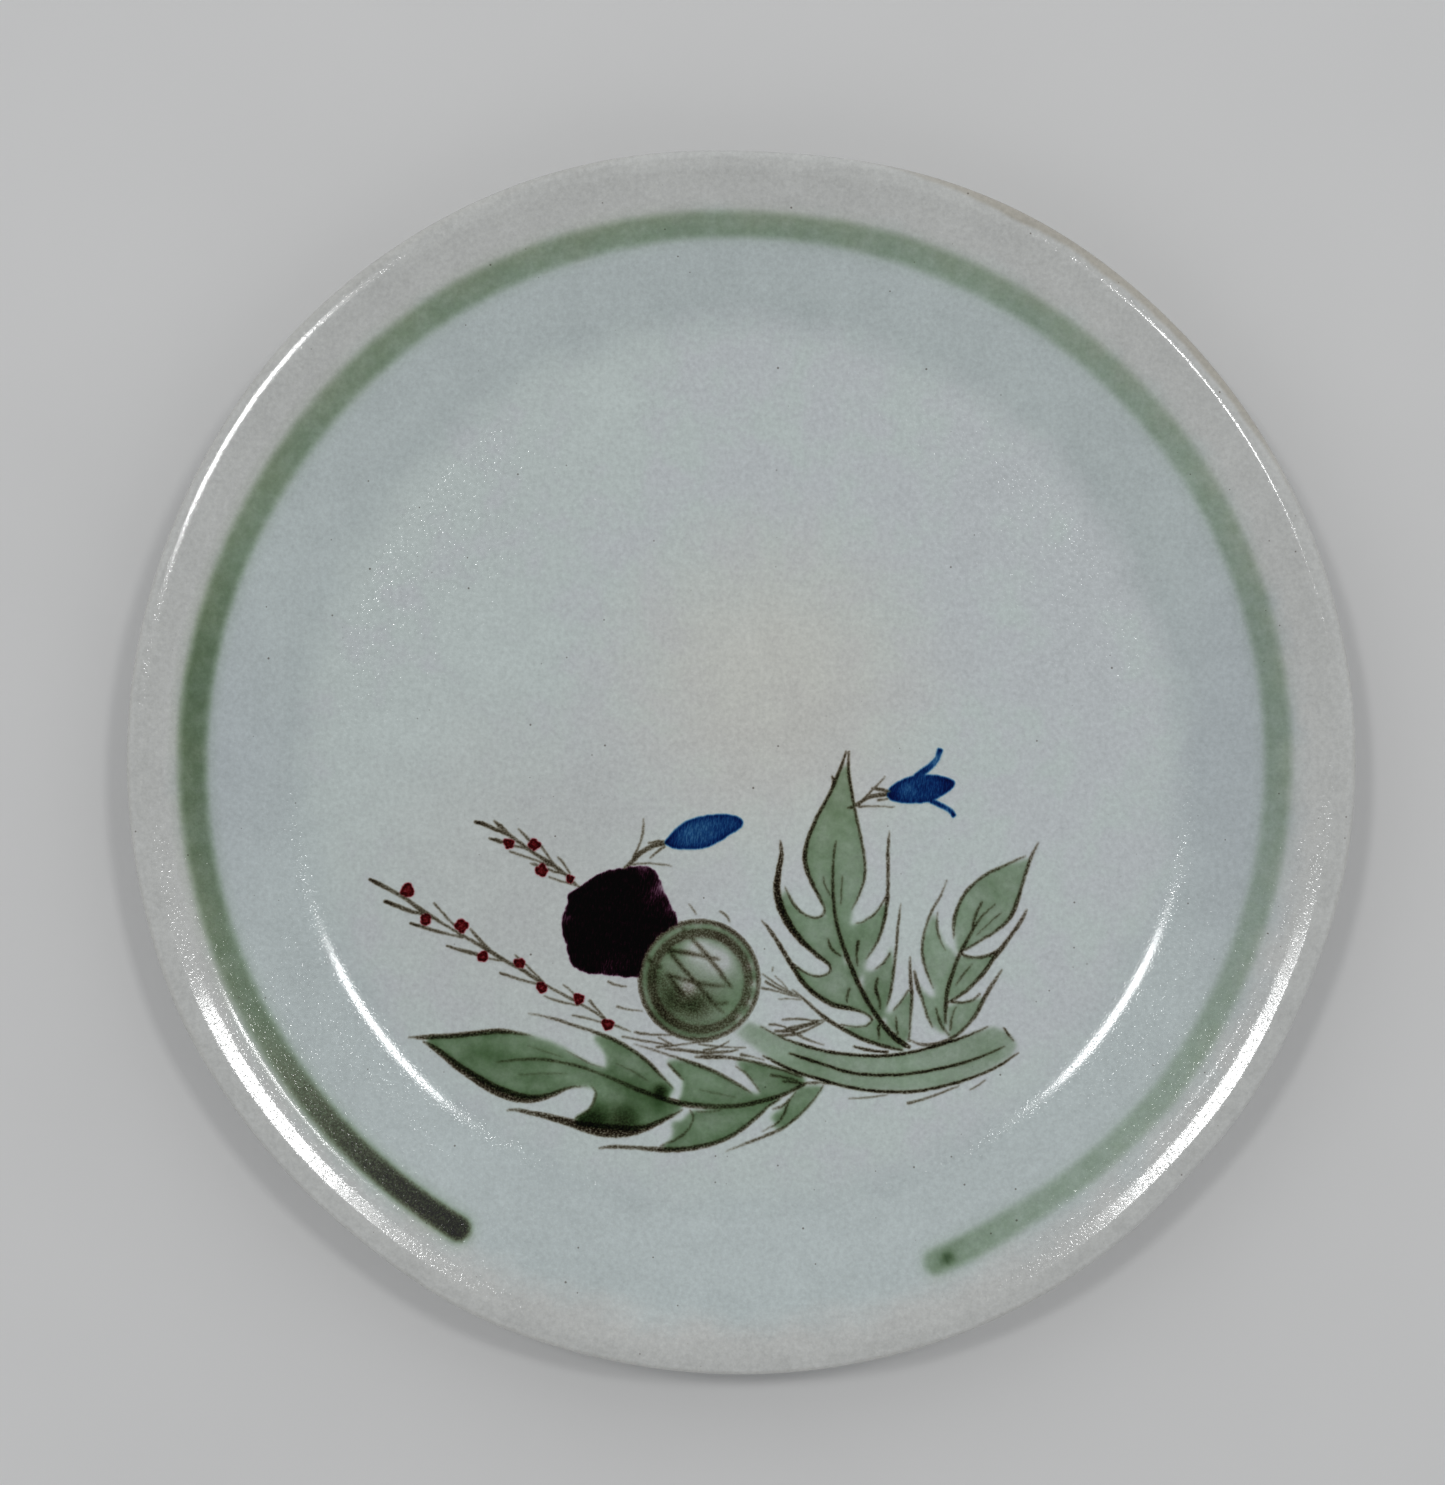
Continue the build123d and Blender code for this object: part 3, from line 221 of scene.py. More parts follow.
# ---------------------------------------------------------------- section of the plate
def rounded(corners, step):
    """Points about a step apart along a broken line of (x, y, radius) whose corners are rounded."""
    points = [np.array(corners[0][:2], float)]
    for before, corner, after in zip(corners, corners[1:], corners[2:]):
        at = np.array(corner[:2], float)
        back = np.array(before[:2], float) - at
        ahead = np.array(after[:2], float) - at
        back /= np.linalg.norm(back)
        ahead /= np.linalg.norm(ahead)
        half = math.acos(float(np.clip(back @ ahead, -1, 1))) / 2
        radius = max(corner[2], 1e-6)
        middle = (back + ahead) / np.linalg.norm(back + ahead)
        centre = at + middle * radius / math.sin(half)
        start = at + back * radius / math.tan(half) - centre
        end = at + ahead * radius / math.tan(half) - centre
        turn = math.pi - 2 * half
        pieces = max(2, math.ceil(radius * turn / step))
        for k in range(pieces + 1):
            share = k / pieces
            arc = start * math.sin((1 - share) * turn) + end * math.sin(share * turn)
            points.append(centre + arc / math.sin(turn))
    points.append(np.array(corners[-1][:2], float))
    return np.array(points)


def spaced(points, spacing):
    """The same line with points a given distance apart; spacing tells that distance for a point."""
    lengths = np.concatenate([[0], np.cumsum(np.hypot(*np.diff(points, axis=0).T))])
    places = [0.0]
    while places[-1] < lengths[-1]:
        here = [np.interp(places[-1], lengths, points[:, k]) for k in (0, 1)]
        places.append(places[-1] + spacing(*here))
    places[-1] = lengths[-1]
    return np.stack([np.interp(places, lengths, points[:, k]) for k in (0, 1)], axis=1)


def face_spacing(radius, height):
    """Ring spacing: wide on the flat well, close on the curves that catch the light."""
    if radius < WELL_RADIUS - 8:
        return 5.0
    if height < WELL_HEIGHT - 3 or radius < WELL_RADIUS + 14:
        return 1.3
    return 0.4


def plate_line():
    """The plate's section from the middle of the well, round the lip and foot, to the middle below."""
    inner_foot = FOOT_OUTER_RADIUS - FOOT_WIDTH
    easing_height = PLATE_HEIGHT - math.tan(math.radians(EASED_SLOPE)) * (CREST_RADIUS - EASING_RADIUS)
    edge_height = PLATE_HEIGHT - math.tan(math.radians(LIP_SLOPE)) * (PLATE_RADIUS - BROW_RADIUS)
    corners = [
        (0, WELL_HEIGHT, 0),
        (WELL_RADIUS, WELL_HEIGHT, WELL_FILLET),
        (EASING_RADIUS, easing_height, EASING_FILLET),
        (CREST_RADIUS, PLATE_HEIGHT, CREST_FILLET),
        (BROW_RADIUS, PLATE_HEIGHT, BROW_FILLET),
        (PLATE_RADIUS, edge_height, LIP_FILLET),
        (PLATE_RADIUS, edge_height - LIP_THICKNESS, LIP_FILLET),
        (FOOT_OUTER_RADIUS, FOOT_SHOULDER, SHOULDER_FILLET),
        (FOOT_OUTER_RADIUS, 0, FOOT_FILLET),
        (inner_foot, 0, FOOT_FILLET),
        (inner_foot - RECESS_DRAFT, RECESS_HEIGHT, RECESS_FILLET),
        (0, RECESS_HEIGHT, 0),
    ]
    return rounded(corners, SECTION_STEP)


def inset(points, depth):
    """The line moved inwards, to the right of its direction of travel."""
    along = np.gradient(points, axis=0)
    along /= np.linalg.norm(along, axis=1)[:, None]
    inwards = np.stack([along[:, 1], -along[:, 0]], axis=1)
    moved = points + inwards * depth
    moved[:, 0] = np.maximum(moved[:, 0], 0)
    return moved


def smoothstep(low, high, value):
    """0 below low, 1 above high, and a smooth rise between."""
    share = np.clip((value - low) / (high - low), 0, 1)
    return share * share * (3 - 2 * share)


def hump(away, width):
    """1 in the middle of a smooth hump of that half width, and 0 far away from it."""
    return np.exp(-((away / width) ** 2))


def degrees_from(centre, angle):
    """Degrees from a direction to an angle in radians, the shorter way round."""
    return (np.degrees(angle) - centre + 180) % 360 - 180


def lip_fault(angle):
    """How far the lip stands out from a true circle at an angle in radians."""
    total = np.zeros_like(angle)
    for centre, width, depth in LIP_FAULTS:
        total += depth * hump(degrees_from(centre, angle), width)
    return total


def lip_drop(radius, angle):
    """How far the lip's outer face has sunk below the true turned form."""
    centre, width, slope = LIP_DROOP
    past = radius - CREST_RADIUS
    softly_past = (np.hypot(past, DROOP_SOFTNESS) + past) / 2
    return math.tan(math.radians(slope)) * softly_past * hump(degrees_from(centre, angle), width)


def thrown(radius, angle, height):
    """Where a point of the true turned form really is, with the lip's faults and the finger rings in."""
    growth = smoothstep(FAULT_START, PLATE_RADIUS, radius)
    moved = radius + lip_fault(angle) * growth
    on_top = smoothstep(WELL_HEIGHT - 2, WELL_HEIGHT, height)
    rings = sum(rise * hump(radius - at, width) for at, width, rise in FINGER_RINGS)
    swell = LIP_WARP * growth * np.sin(2 * angle + 0.6)
    raised = height + rings * on_top + swell - lip_drop(radius, angle)
    return np.stack([moved * np.cos(angle), moved * np.sin(angle), raised], axis=-1)


def surface_height(line, radius):
    """Height of the plate's upper face at a radius of the true form."""
    top = line[: int(np.argmax(line[:, 0]))]
    return np.interp(radius, top[:, 0], top[:, 1])


# ---------------------------------------------------------------- meshes
def mesh_piece(name, points, faces, replaced, material, amounts=None):
    """A smooth shaded piece on the plate's body that stands for a CAD node."""
    mesh = bpy.data.meshes.new(name)
    mesh.from_pydata(points * MM, [], faces)
    mesh.shade_smooth()
    mesh.set_sharp_from_angle(angle=math.radians(35))
    for pigment, values in (amounts or {}).items():
        mesh.attributes.new(pigment, "FLOAT", "POINT").data.foreach_set("value", values.astype(np.float32))
    mesh.materials.append(material)
    piece = bpy.data.objects.new(name, mesh)
    bpy.context.scene.collection.objects.link(piece)
    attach(piece, "root")
    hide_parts(replaced)
    return piece


def turned_piece(name, line, replaced, material):
    """The closed form that a line of (radius, height) sweeps; ends on the axis become poles."""
    closed = line[0, 0] > 1e-6
    rings = line if closed else line[1:-1]
    angles = np.arange(TURNS) * (2 * math.pi / TURNS)
    points = thrown(rings[:, 0, None], angles[None, :], rings[:, 1, None]).reshape(-1, 3)
    count = len(rings)
    steps = count if closed else count - 1
    faces = []
    for k in range(steps):
        low = k * TURNS
        high = (k + 1) % count * TURNS
        for j in range(TURNS):
            after = (j + 1) % TURNS
            faces.append((low + j, high + j, high + after, low + after))
    if not closed:
        poles = [(0, 0, line[0, 1]), (0, 0, line[-1, 1])]
        points = np.concatenate([points, poles])
        first, last = count * TURNS, count * TURNS + 1
        end = (count - 1) * TURNS
        for j in range(TURNS):
            after = (j + 1) % TURNS
            faces.append((first, j, after))
            faces.append((last, end + after, end + j))
    return mesh_piece(name, points, faces, replaced, material)


def closed_skin(top, bottom, faces):
    """Points and faces of a thin closed form between two sheets that share their faces."""
    count = len(top)
    starts = np.concatenate([np.array(face) for face in faces])
    ends = np.concatenate([np.roll(np.array(face), -1) for face in faces])
    forward = starts.astype(np.int64) * count + ends
    backward = ends.astype(np.int64) * count + starts
    edge = ~np.isin(forward, backward)
    rim = [(b, a, a + count, b + count) for a, b in zip(starts[edge].tolist(), ends[edge].tolist())]
    under = [tuple(count + corner for corner in reversed(face)) for face in faces]
    return np.concatenate([top, bottom]), faces + under + rim


# ---------------------------------------------------------------- soft coverage of the brush marks
def canvas_box():
    """Lowest corner and size in cells of the grid that covers the decoration."""
    corners = [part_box(name) for name in PAINTED]
    low = np.array([min(c[0][k] for c in corners) for k in (0, 1)]) / MM - CANVAS_MARGIN
    high = np.array([max(c[1][k] for c in corners) for k in (0, 1)]) / MM + CANVAS_MARGIN
    size = np.ceil((high - low) / CELL / CANVAS_BLOCK).astype(int) * CANVAS_BLOCK
    return low, size


CANVAS_LOW, CANVAS_SIZE = canvas_box()


def unsteady(points):
    """A hand's small sideways shift of points of the canvas plane, the same wherever a point comes up."""
    x, y = points[:, 0], points[:, 1]
    sideways = np.sin(2.9 * y + 1.7 * x) + np.sin(4.3 * x - 2.1 * y + 1.0)
    forwards = np.cos(3.1 * x - 1.3 * y) + np.cos(4.7 * y + 2.2 * x + 0.5)
    return np.stack([sideways, forwards], axis=1)


def top_edges(name):
    """The sides of the triangles on a painted node's upper face, in cells of the canvas."""
    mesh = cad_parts[name].data
    mesh.calc_loop_triangles()
    points = np.array([v.co for v in mesh.vertices]) / MM
    points[:, :2] += UNSTEADINESS.get(name, STEADY_HAND) * unsteady(points)
    corners = np.array([t.vertices[:] for t in mesh.loop_triangles])
    ups = np.array([t.normal.z for t in mesh.loop_triangles]) > 0.9
    flat = (points[corners[ups]][:, :, :2] - CANVAS_LOW) / CELL
    return np.concatenate([flat[:, [0, 1]], flat[:, [1, 2]], flat[:, [2, 0]]])


def coverage(names):
    """1 in each cell of the canvas whose corner lies under the nodes' upper faces, else 0."""
    edges = np.concatenate([top_edges(name) for name in names])
    swap = edges[:, 0, 1] > edges[:, 1, 1]
    edges[swap] = edges[swap][:, ::-1]
    first = np.ceil(edges[:, 0, 1]).astype(int)
    count = np.ceil(edges[:, 1, 1]).astype(int) - first
    which = np.repeat(np.arange(len(edges)), count)
    row = first[which] + np.arange(len(which)) - np.repeat(np.cumsum(count) - count, count)
    (x0, y0), (x1, y1) = edges[which][:, 0].T, edges[which][:, 1].T
    column = np.ceil(x0 + (row - y0) * (x1 - x0) / (y1 - y0)).astype(int)
    crossings = np.zeros((CANVAS_SIZE[1], CANVAS_SIZE[0] + 1), int)
    np.add.at(crossings, (row, column), 1)
    return (np.cumsum(crossings, axis=1)[:, :-1] % 2).astype(float)


def loaded_coverage(names):
    """The nodes' coverage, each as strong as its brush was loaded."""
    return sum(STRENGTHS.get(name, 1.0) * coverage([name]) for name in names)


def blur(field, width):
    """The field softened by a bell curve of that width in mm."""
    rows, columns = field.shape
    down = np.fft.fftfreq(rows)[:, None]
    across = np.fft.rfftfreq(columns)[None, :]
    bell = np.exp(-2 * (math.pi * width / CELL) ** 2 * (down ** 2 + across ** 2))
    return np.fft.irfft2(np.fft.rfft2(field) * bell, s=field.shape)


def spread(cover, hidden, width):
    """Soft coverage of a mark that carries on unseen under the marks above it."""
    return blur(cover, width) / np.maximum(blur(1 - hidden, width), 0.02)


def rimmed(cover, width, rim_width):
    """Soft coverage of a mark, and how much of its rim, where wet paint collects, lies at each point."""
    soft = blur(cover, width)
    return soft, np.clip(soft - blur(cover, rim_width), 0, 1)


def pooled(pools):
    """The change that the listed pools and thin spots make, over the whole canvas."""
    x = CANVAS_LOW[0] + np.arange(CANVAS_SIZE[0])[None, :] * CELL
    y = CANVAS_LOW[1] + np.arange(CANVAS_SIZE[1])[:, None] * CELL
    total = 0
    for at_x, at_y, radius, change in pools:
        total = total + change * np.exp(-((x - at_x) ** 2 + (y - at_y) ** 2) / radius ** 2)
    return total


def sample(field, x, y):
    """The field's value between its cells."""
    column = np.clip((x - CANVAS_LOW[0]) / CELL, 0, CANVAS_SIZE[0] - 1.001)
    row = np.clip((y - CANVAS_LOW[1]) / CELL, 0, CANVAS_SIZE[1] - 1.001)
    j, i = column.astype(int), row.astype(int)
    u, v = column - j, row - i
    low = field[i, j] * (1 - u) + field[i, j + 1] * u
    high = field[i + 1, j] * (1 - u) + field[i + 1, j + 1] * u
    return low * (1 - v) + high * v


def pigment_fields():
    """How much of each pigment lies at each cell of the canvas: 1 is a normal full stroke."""
    brown = coverage(BROWN_NODES)
    iron = coverage(IRON_NODES)
    purple = coverage(PURPLE_NODES)
    cobalt = coverage(COBALT_NODES)
    red = coverage(RED_NODES)
    above_green = np.minimum(brown + iron + purple + cobalt + red, 1)
    wash = spread(loaded_coverage(WASH_NODES), above_green, 0.42)
    near_lines = blur(iron, 1.1)
    loaded = blur(iron, 0.55)
    strokes = blur(loaded_coverage(LEAF_LINE_NODES), 0.14)
    ring = coverage(["bulb_outline"])
    watered_ring = blur(ring, 0.25) * np.clip(1.3 - 0.85 * blur(ring, 0.6) + pooled(RING_POOLS), 0, 1.5)
    hatching = 1.2 * blur(coverage(["bulb_hatching"]), 0.26)
    bell, bell_rim = rimmed(cobalt, 0.16, 0.7)
    berry, berry_rim = rimmed(red, 0.14, 0.5)
    petal = blur(purple, 0.13)
    twigs = blur(brown, 0.13) * np.clip(0.6 + 0.9 * blur(brown, 0.5) + pooled(BROWN_POOLS), 0.2, 3)
    stains = 0.2 * watered_ring + wash * pooled(IRON_POOLS)
    return {
        "green": wash * np.clip(0.72 + 0.8 * near_lines - 0.8 * watered_ring + pooled(WASH_POOLS), 0.06, 3),
        "brown": twigs + 1.1 * watered_ring + hatching,
        "iron": strokes * np.clip(0.15 + 1.45 * loaded + pooled(LINE_POOLS), 0.2, 3) + stains,
        "purple": petal * (0.7 + 1.2 * blur(purple, 0.6)) * np.clip(1 + pooled(FLOWER_POOLS), 0.1, 2),
        "cobalt": bell * np.clip(1.2 + 1.2 * bell_rim + pooled(BELL_POOLS), 0.22, 3),
        "red": berry * (0.9 + 3.0 * berry_rim),
    }


# ---------------------------------------------------------------- painted skins
def outlined_cells(field, step):
    """Points and faces of the canvas where the field is above OUTLINE_LEVEL, with a smooth outline."""
    grid = field[::step, ::step] - OUTLINE_LEVEL
    inside = grid > 0
    number = np.full(grid.shape, -1)
    number[inside] = np.arange(inside.sum())
    where = np.argwhere(inside)
    points = [tuple(p) for p in where[:, ::-1].astype(float)]
    corner_count = inside[:-1, :-1].astype(int) + inside[:-1, 1:] + inside[1:, 1:] + inside[1:, :-1]
    i, j = np.nonzero(corner_count == 4)
    quads = np.stack([number[i, j], number[i, j + 1], number[i + 1, j + 1], number[i + 1, j]], axis=1)
    faces = [tuple(face) for face in quads.tolist()]
    crossing = {}
    for i, j in np.argwhere((corner_count > 0) & (corner_count < 4)).tolist():
        around = [(i, j), (i, j + 1), (i + 1, j + 1), (i + 1, j)]
        face = []
        for here, after in zip(around, around[1:] + around[:1]):
            if inside[here]:
                face.append(int(number[here]))
            if inside[here] != inside[after]:
                key = (min(here, after), max(here, after))
                if key not in crossing:
                    share = min(max(grid[here] / (grid[here] - grid[after]), 0.05), 0.95)
                    row = here[0] + share * (after[0] - here[0])
                    column = here[1] + share * (after[1] - here[1])
                    crossing[key] = len(points)
                    points.append((column, row))
                face.append(crossing[key])
        faces.append(tuple(face))
    return CANVAS_LOW + np.array(points) * (step * CELL), faces


def painted_skin(name, place_in_stack, step, width, line, fields, material):
    """A thin skin that follows one painted node and fades out past its edge."""
    flat, faces = outlined_cells(blur(coverage([name]), width), step)
    x, y = flat.T
    amounts = {pigment: sample(field, x, y) for pigment, field in fields.items()}
    ground = surface_height(line, np.hypot(x, y))
    body = PAINT_BODY * sum(np.minimum(amount, MOST_BODY) for amount in amounts.values())
    lift = SKIN_LIFT * (place_in_stack + 2)
    top = np.stack([x, y, ground + lift + body], axis=1)
    bottom = np.stack([x, y, ground - SKIN_BED], axis=1)
    points, faces = closed_skin(top, bottom, faces)
    doubled = {pigment: np.concatenate([values, values]) for pigment, values in amounts.items()}
    return mesh_piece("painted_" + name, points, faces, name, material, doubled)


def band_grid(start, end, radius):
    """Angles along the band and past its ends, as a column, and distances across it, as a row."""
    margin = BAND_REACH / radius
    count = math.ceil((end - start + 2 * margin) * radius / BAND_STEP_ALONG)
    rows = math.ceil(2 * BAND_REACH / BAND_STEP_ACROSS)
    angle = np.linspace(start - margin, end + margin, count + 1)[:, None]
    across = np.linspace(-BAND_REACH, BAND_REACH, rows + 1)[None, :]
    return angle, across


def grid_faces(rows, columns):
    """The quads between points that are numbered row by row."""
    faces = []
    for k in range(rows - 1):
        for j in range(columns - 1):
            corner = k * columns + j
            faces.append((corner, corner + 1, corner + columns + 1, corner + columns))
    return faces


def band_skin(line, material):
    """The rim band: a thin skin on the wall whose colour fades to nothing at its edges and ends."""
    course = np.array(BAND_COURSE, float)
    radius = course[:, 1].mean()
    start = math.radians(BAND_START)
    end = math.radians(BAND_START + BAND_SWEEP)
    angle, across = band_grid(start, end, radius)
    degrees = np.degrees(angle)
    middle, half, green, iron = (np.interp(degrees, course[:, 0], course[:, k]) for k in (1, 2, 3, 4))
    past_end = np.maximum(np.maximum(start - angle, angle - end), 0) * radius
    away = np.hypot(across, past_end)
    cover = 1 - smoothstep(half + BAND_EDGE[0], half + BAND_EDGE[1], away)
    core = 1 - smoothstep(half + BAND_CORE_EDGE[0], half + BAND_CORE_EDGE[1], away)
    halo = 1 - smoothstep(half, half + BAND_HALO, away)
    drop_angle, drop_across, drop_radius, drop_green = BAND_DROP
    from_drop = np.hypot((angle - math.radians(drop_angle)) * radius, across - drop_across)
    green = green + drop_green * hump(from_drop, drop_radius)
    x = BAND_CENTRE[0] + (middle + across) * np.cos(angle)
    y = BAND_CENTRE[1] + (middle + across) * np.sin(angle)
    plate_radius = np.hypot(x, y)
    plate_angle = np.arctan2(y, x)
    ground = surface_height(line, plate_radius)
    top = thrown(plate_radius, plate_angle, ground + BAND_LIFT * (1 + cover)).reshape(-1, 3)
    bottom = thrown(plate_radius, plate_angle, ground - SKIN_BED).reshape(-1, 3)
    points, faces = closed_skin(top, bottom, grid_faces(*x.shape))
    amounts = {pigment: np.zeros(len(points)) for pigment in PIGMENT_DEPTHS}
    amounts["green"] = np.tile(((BAND_GREEN * cover + HALO_GREEN * halo) * green).ravel(), 2)
    amounts["iron"] = np.tile((core * iron).ravel(), 2)
    return mesh_piece("painted_rim_band", points, faces, "rim_band", material, amounts)


# ---------------------------------------------------------------- material helpers
def add(tree, kind, inputs=None, **settings):
    """A new shader node with its properties set and its inputs filled with values or links."""
    made = tree.nodes.new("ShaderNode" + kind)
    for name, value in settings.items():
        setattr(made, name, value)
    for name, value in (inputs or {}).items():
        if isinstance(value, bpy.types.NodeSocket):
            tree.links.new(value, made.inputs[name])
        else:
            made.inputs[name].default_value = value
    return made


def calculate(tree, operation, first, second=0.0):
    """The result of a maths node."""
    return add(tree, "Math", {0: first, 1: second}, operation=operation).outputs[0]


def remap(tree, value, low, high, to_low, to_high):
    """A value moved smoothly from one range to another."""
    inputs = {"Value": value, "From Min": low, "From Max": high, "To Min": to_low, "To Max": to_high}
    return add(tree, "MapRange", inputs, interpolation_type="SMOOTHSTEP").outputs["Result"]


def summed(tree, first, second):
    """The sum of two values."""
    return calculate(tree, "ADD", first, second)


def scaled(tree, value, factor):
    """A value times a factor."""
    return calculate(tree, "MULTIPLY", value, factor)


def vector(tree, operation, first, second):
    """The result of a maths node on two vectors, which is a number for a distance or a dot product."""
    made = add(tree, "VectorMath", {0: first, 1: second}, operation=operation)
    return made.outputs["Value" if operation in ("DISTANCE", "DOT_PRODUCT") else "Vector"]


def blend(tree, share, first, second, kind="MIX"):
    """Two colours mixed; sockets 6 and 7 and output 2 are the node's colour ones."""
    made = add(tree, "Mix", {"Factor": share}, data_type="RGBA", blend_type=kind)
    for socket, colour in ((made.inputs[6], first), (made.inputs[7], second)):
        if isinstance(colour, bpy.types.NodeSocket):
            tree.links.new(colour, socket)
        else:
            socket.default_value = (*colour, 1)
    return made.outputs[2]


def noise(tree, place, size, detail=2.0, roughness=0.5):
    """Smooth noise with features of about that size in mm."""
    inputs = {"Vector": place, "Scale": 1 / size, "Detail": detail, "Roughness": roughness}
    return add(tree, "TexNoise", inputs).outputs["Fac"]


def place_in_mm(tree):
    """The point's place in the plate's own frame, in mm."""
    place = add(tree, "TexCoord").outputs["Object"]
    return add(tree, "VectorMath", {0: place, "Scale": 1 / MM}, operation="SCALE").outputs[0]


def new_material(name):
    """An empty node material and its tree."""
    material = bpy.data.materials.new(name)
    material.use_nodes = True
    material.node_tree.nodes.clear()
    return material, material.node_tree


def surface(tree, shader):
    """Connect the shader to the material's surface."""
    output = add(tree, "OutputMaterial")
    tree.links.new(shader.outputs[0], output.inputs["Surface"])


# ---------------------------------------------------------------- glaze and pigments
WELL_COLOUR = (0.590, 0.629, 0.642)
GREENISH = (0.562, 0.628, 0.612)
WARM_COLOUR = (0.63, 0.628, 0.58)
DUSKY_COLOUR = (0.56, 0.587, 0.572)
# the wall's colour at the left and the right, made darker to paint in the shade there
WALL_SIDE_SHADE_COLOUR = (0.465, 0.515, 0.53)
WALL_COLOUR = (0.508, 0.570, 0.568)
RIM_COLOUR = (0.56, 0.57, 0.553)
LIP_COLOUR = (0.42, 0.395, 0.335)
SPECK_COLOUR = (0.10, 0.08, 0.06)
CLAY_DARK = (0.42, 0.30, 0.20)
CLAY_LIGHT = (0.55, 0.43, 0.31)
GROG_COLOUR = (0.12, 0.08, 0.06)
# (middle, near, far, colour) of the well's dull and warm areas, which fade out from near to far
WELL_AREAS = [((-42, -26, 0), 8.0, 52.0, DUSKY_COLOUR), ((6, 14, 0), 6.0, 48.0, WARM_COLOUR)]
WALL_BLEND = (86.0, 98.0)       # radii between which the well's colour turns into the wall's
RIM_BLEND = (110.0, 119.0)      # and the wall's into the rim's
TOAST_RADIUS = 126.0            # the lip is toasted outside this, and a little inside it on its toasted side
TOASTED_SIDE = (0.0049, 0.0062, 0)      # a dot product with this is 1 at the upper right of the lip
SPECKS = (2.6, 0.3)             # spacing and largest radius of the glaze's iron specks
GROG = (1.4, 0.4)               # and of the grog in the clay
CRYSTAL_HEIGHT = 0.009
ORANGE_PEEL = 0.012             # depth of the glaze's faint waviness
GLAZE_ROUGHNESS = (0.42, 0.52)
COAT_ROUGHNESS = 0.10
CLAY_ROUGHNESS = (0.78, 0.92)
# how strongly a full stroke of each pigment darkens red, green and blue
PIGMENT_DEPTHS = {
    "green": (0.93, 0.70, 1.06),
    "iron": (2.15, 2.42, 2.85),
    "brown": (1.66, 1.86, 2.2),
    "cobalt": (4.4, 2.5, 1.25),
    "red": (1.55, 4.4, 4.1),
    "purple": (4.0, 6.1, 4.8),
}


def specks(tree, place, spacing, largest):
    """Tiny iron specks: 1 on a speck, 0 off it."""
    cells = add(tree, "TexVoronoi", {"Vector": place, "Scale": 1 / spacing})
    chance = add(tree, "SeparateColor", {"Color": cells.outputs["Color"]}).outputs["Red"]
    reach = scaled(tree, calculate(tree, "POWER", chance, 4.0), largest / spacing)
    inside = calculate(tree, "DIVIDE", cells.outputs["Distance"], summed(tree, reach, 1e-4))
    return remap(tree, inside, 0.6, 1.0, 1.0, 0.0)


def well_colour(tree, flat, drift, patches):
    """The well: grey-blue with greener patches, warm in the middle and duller low on the left."""
    across = add(tree, "SeparateXYZ", {"Vector": flat}).outputs["X"]
    greenish = remap(tree, summed(tree, patches, scaled(tree, across, -0.0016)), 0.75, 1.05, 0.0, 1.0)
    colour = blend(tree, greenish, WELL_COLOUR, GREENISH)
    for middle, near, far, other in WELL_AREAS:
        away = vector(tree, "DISTANCE", flat, middle)
        colour = blend(tree, remap(tree, summed(tree, away, drift), near, far, 0.8, 0.0), colour, other)
    return colour


def wall_colour(tree, across):
    """The wall: bluer than the well, with painted shade darkening it at the left and the right."""
    sideways = calculate(tree, "ABSOLUTE", summed(tree, across.outputs["X"], 6.0))
    upright = scaled(tree, calculate(tree, "ABSOLUTE", across.outputs["Y"]), 0.4)
    # painted shade: how far the point lies towards the wall's left or right side
    side_shade = remap(tree, calculate(tree, "SUBTRACT", sideways, upright), 74.0, 106.0, 0.0, 1.0)
    return blend(tree, side_shade, WALL_COLOUR, WALL_SIDE_SHADE_COLOUR)


def toasted_lip(tree, flat, radius, drift):
    """How toasted the thin glaze is: faintly at the very edge, and in a stronger strip at the upper right."""
    upper_right = remap(tree, vector(tree, "DOT_PRODUCT", flat, TOASTED_SIDE), 0.86, 0.99, 0.0, 1.0)
    strip = calculate(tree, "SUBTRACT", TOAST_RADIUS, scaled(tree, upper_right, 1.2))
    beyond = calculate(tree, "SUBTRACT", summed(tree, radius, scaled(tree, drift, 0.2)), strip)
    strength = remap(tree, upper_right, 0, 1, 0.15, 0.85)
    return scaled(tree, remap(tree, beyond, -0.3, 0.9, 0.0, 1.0), strength)


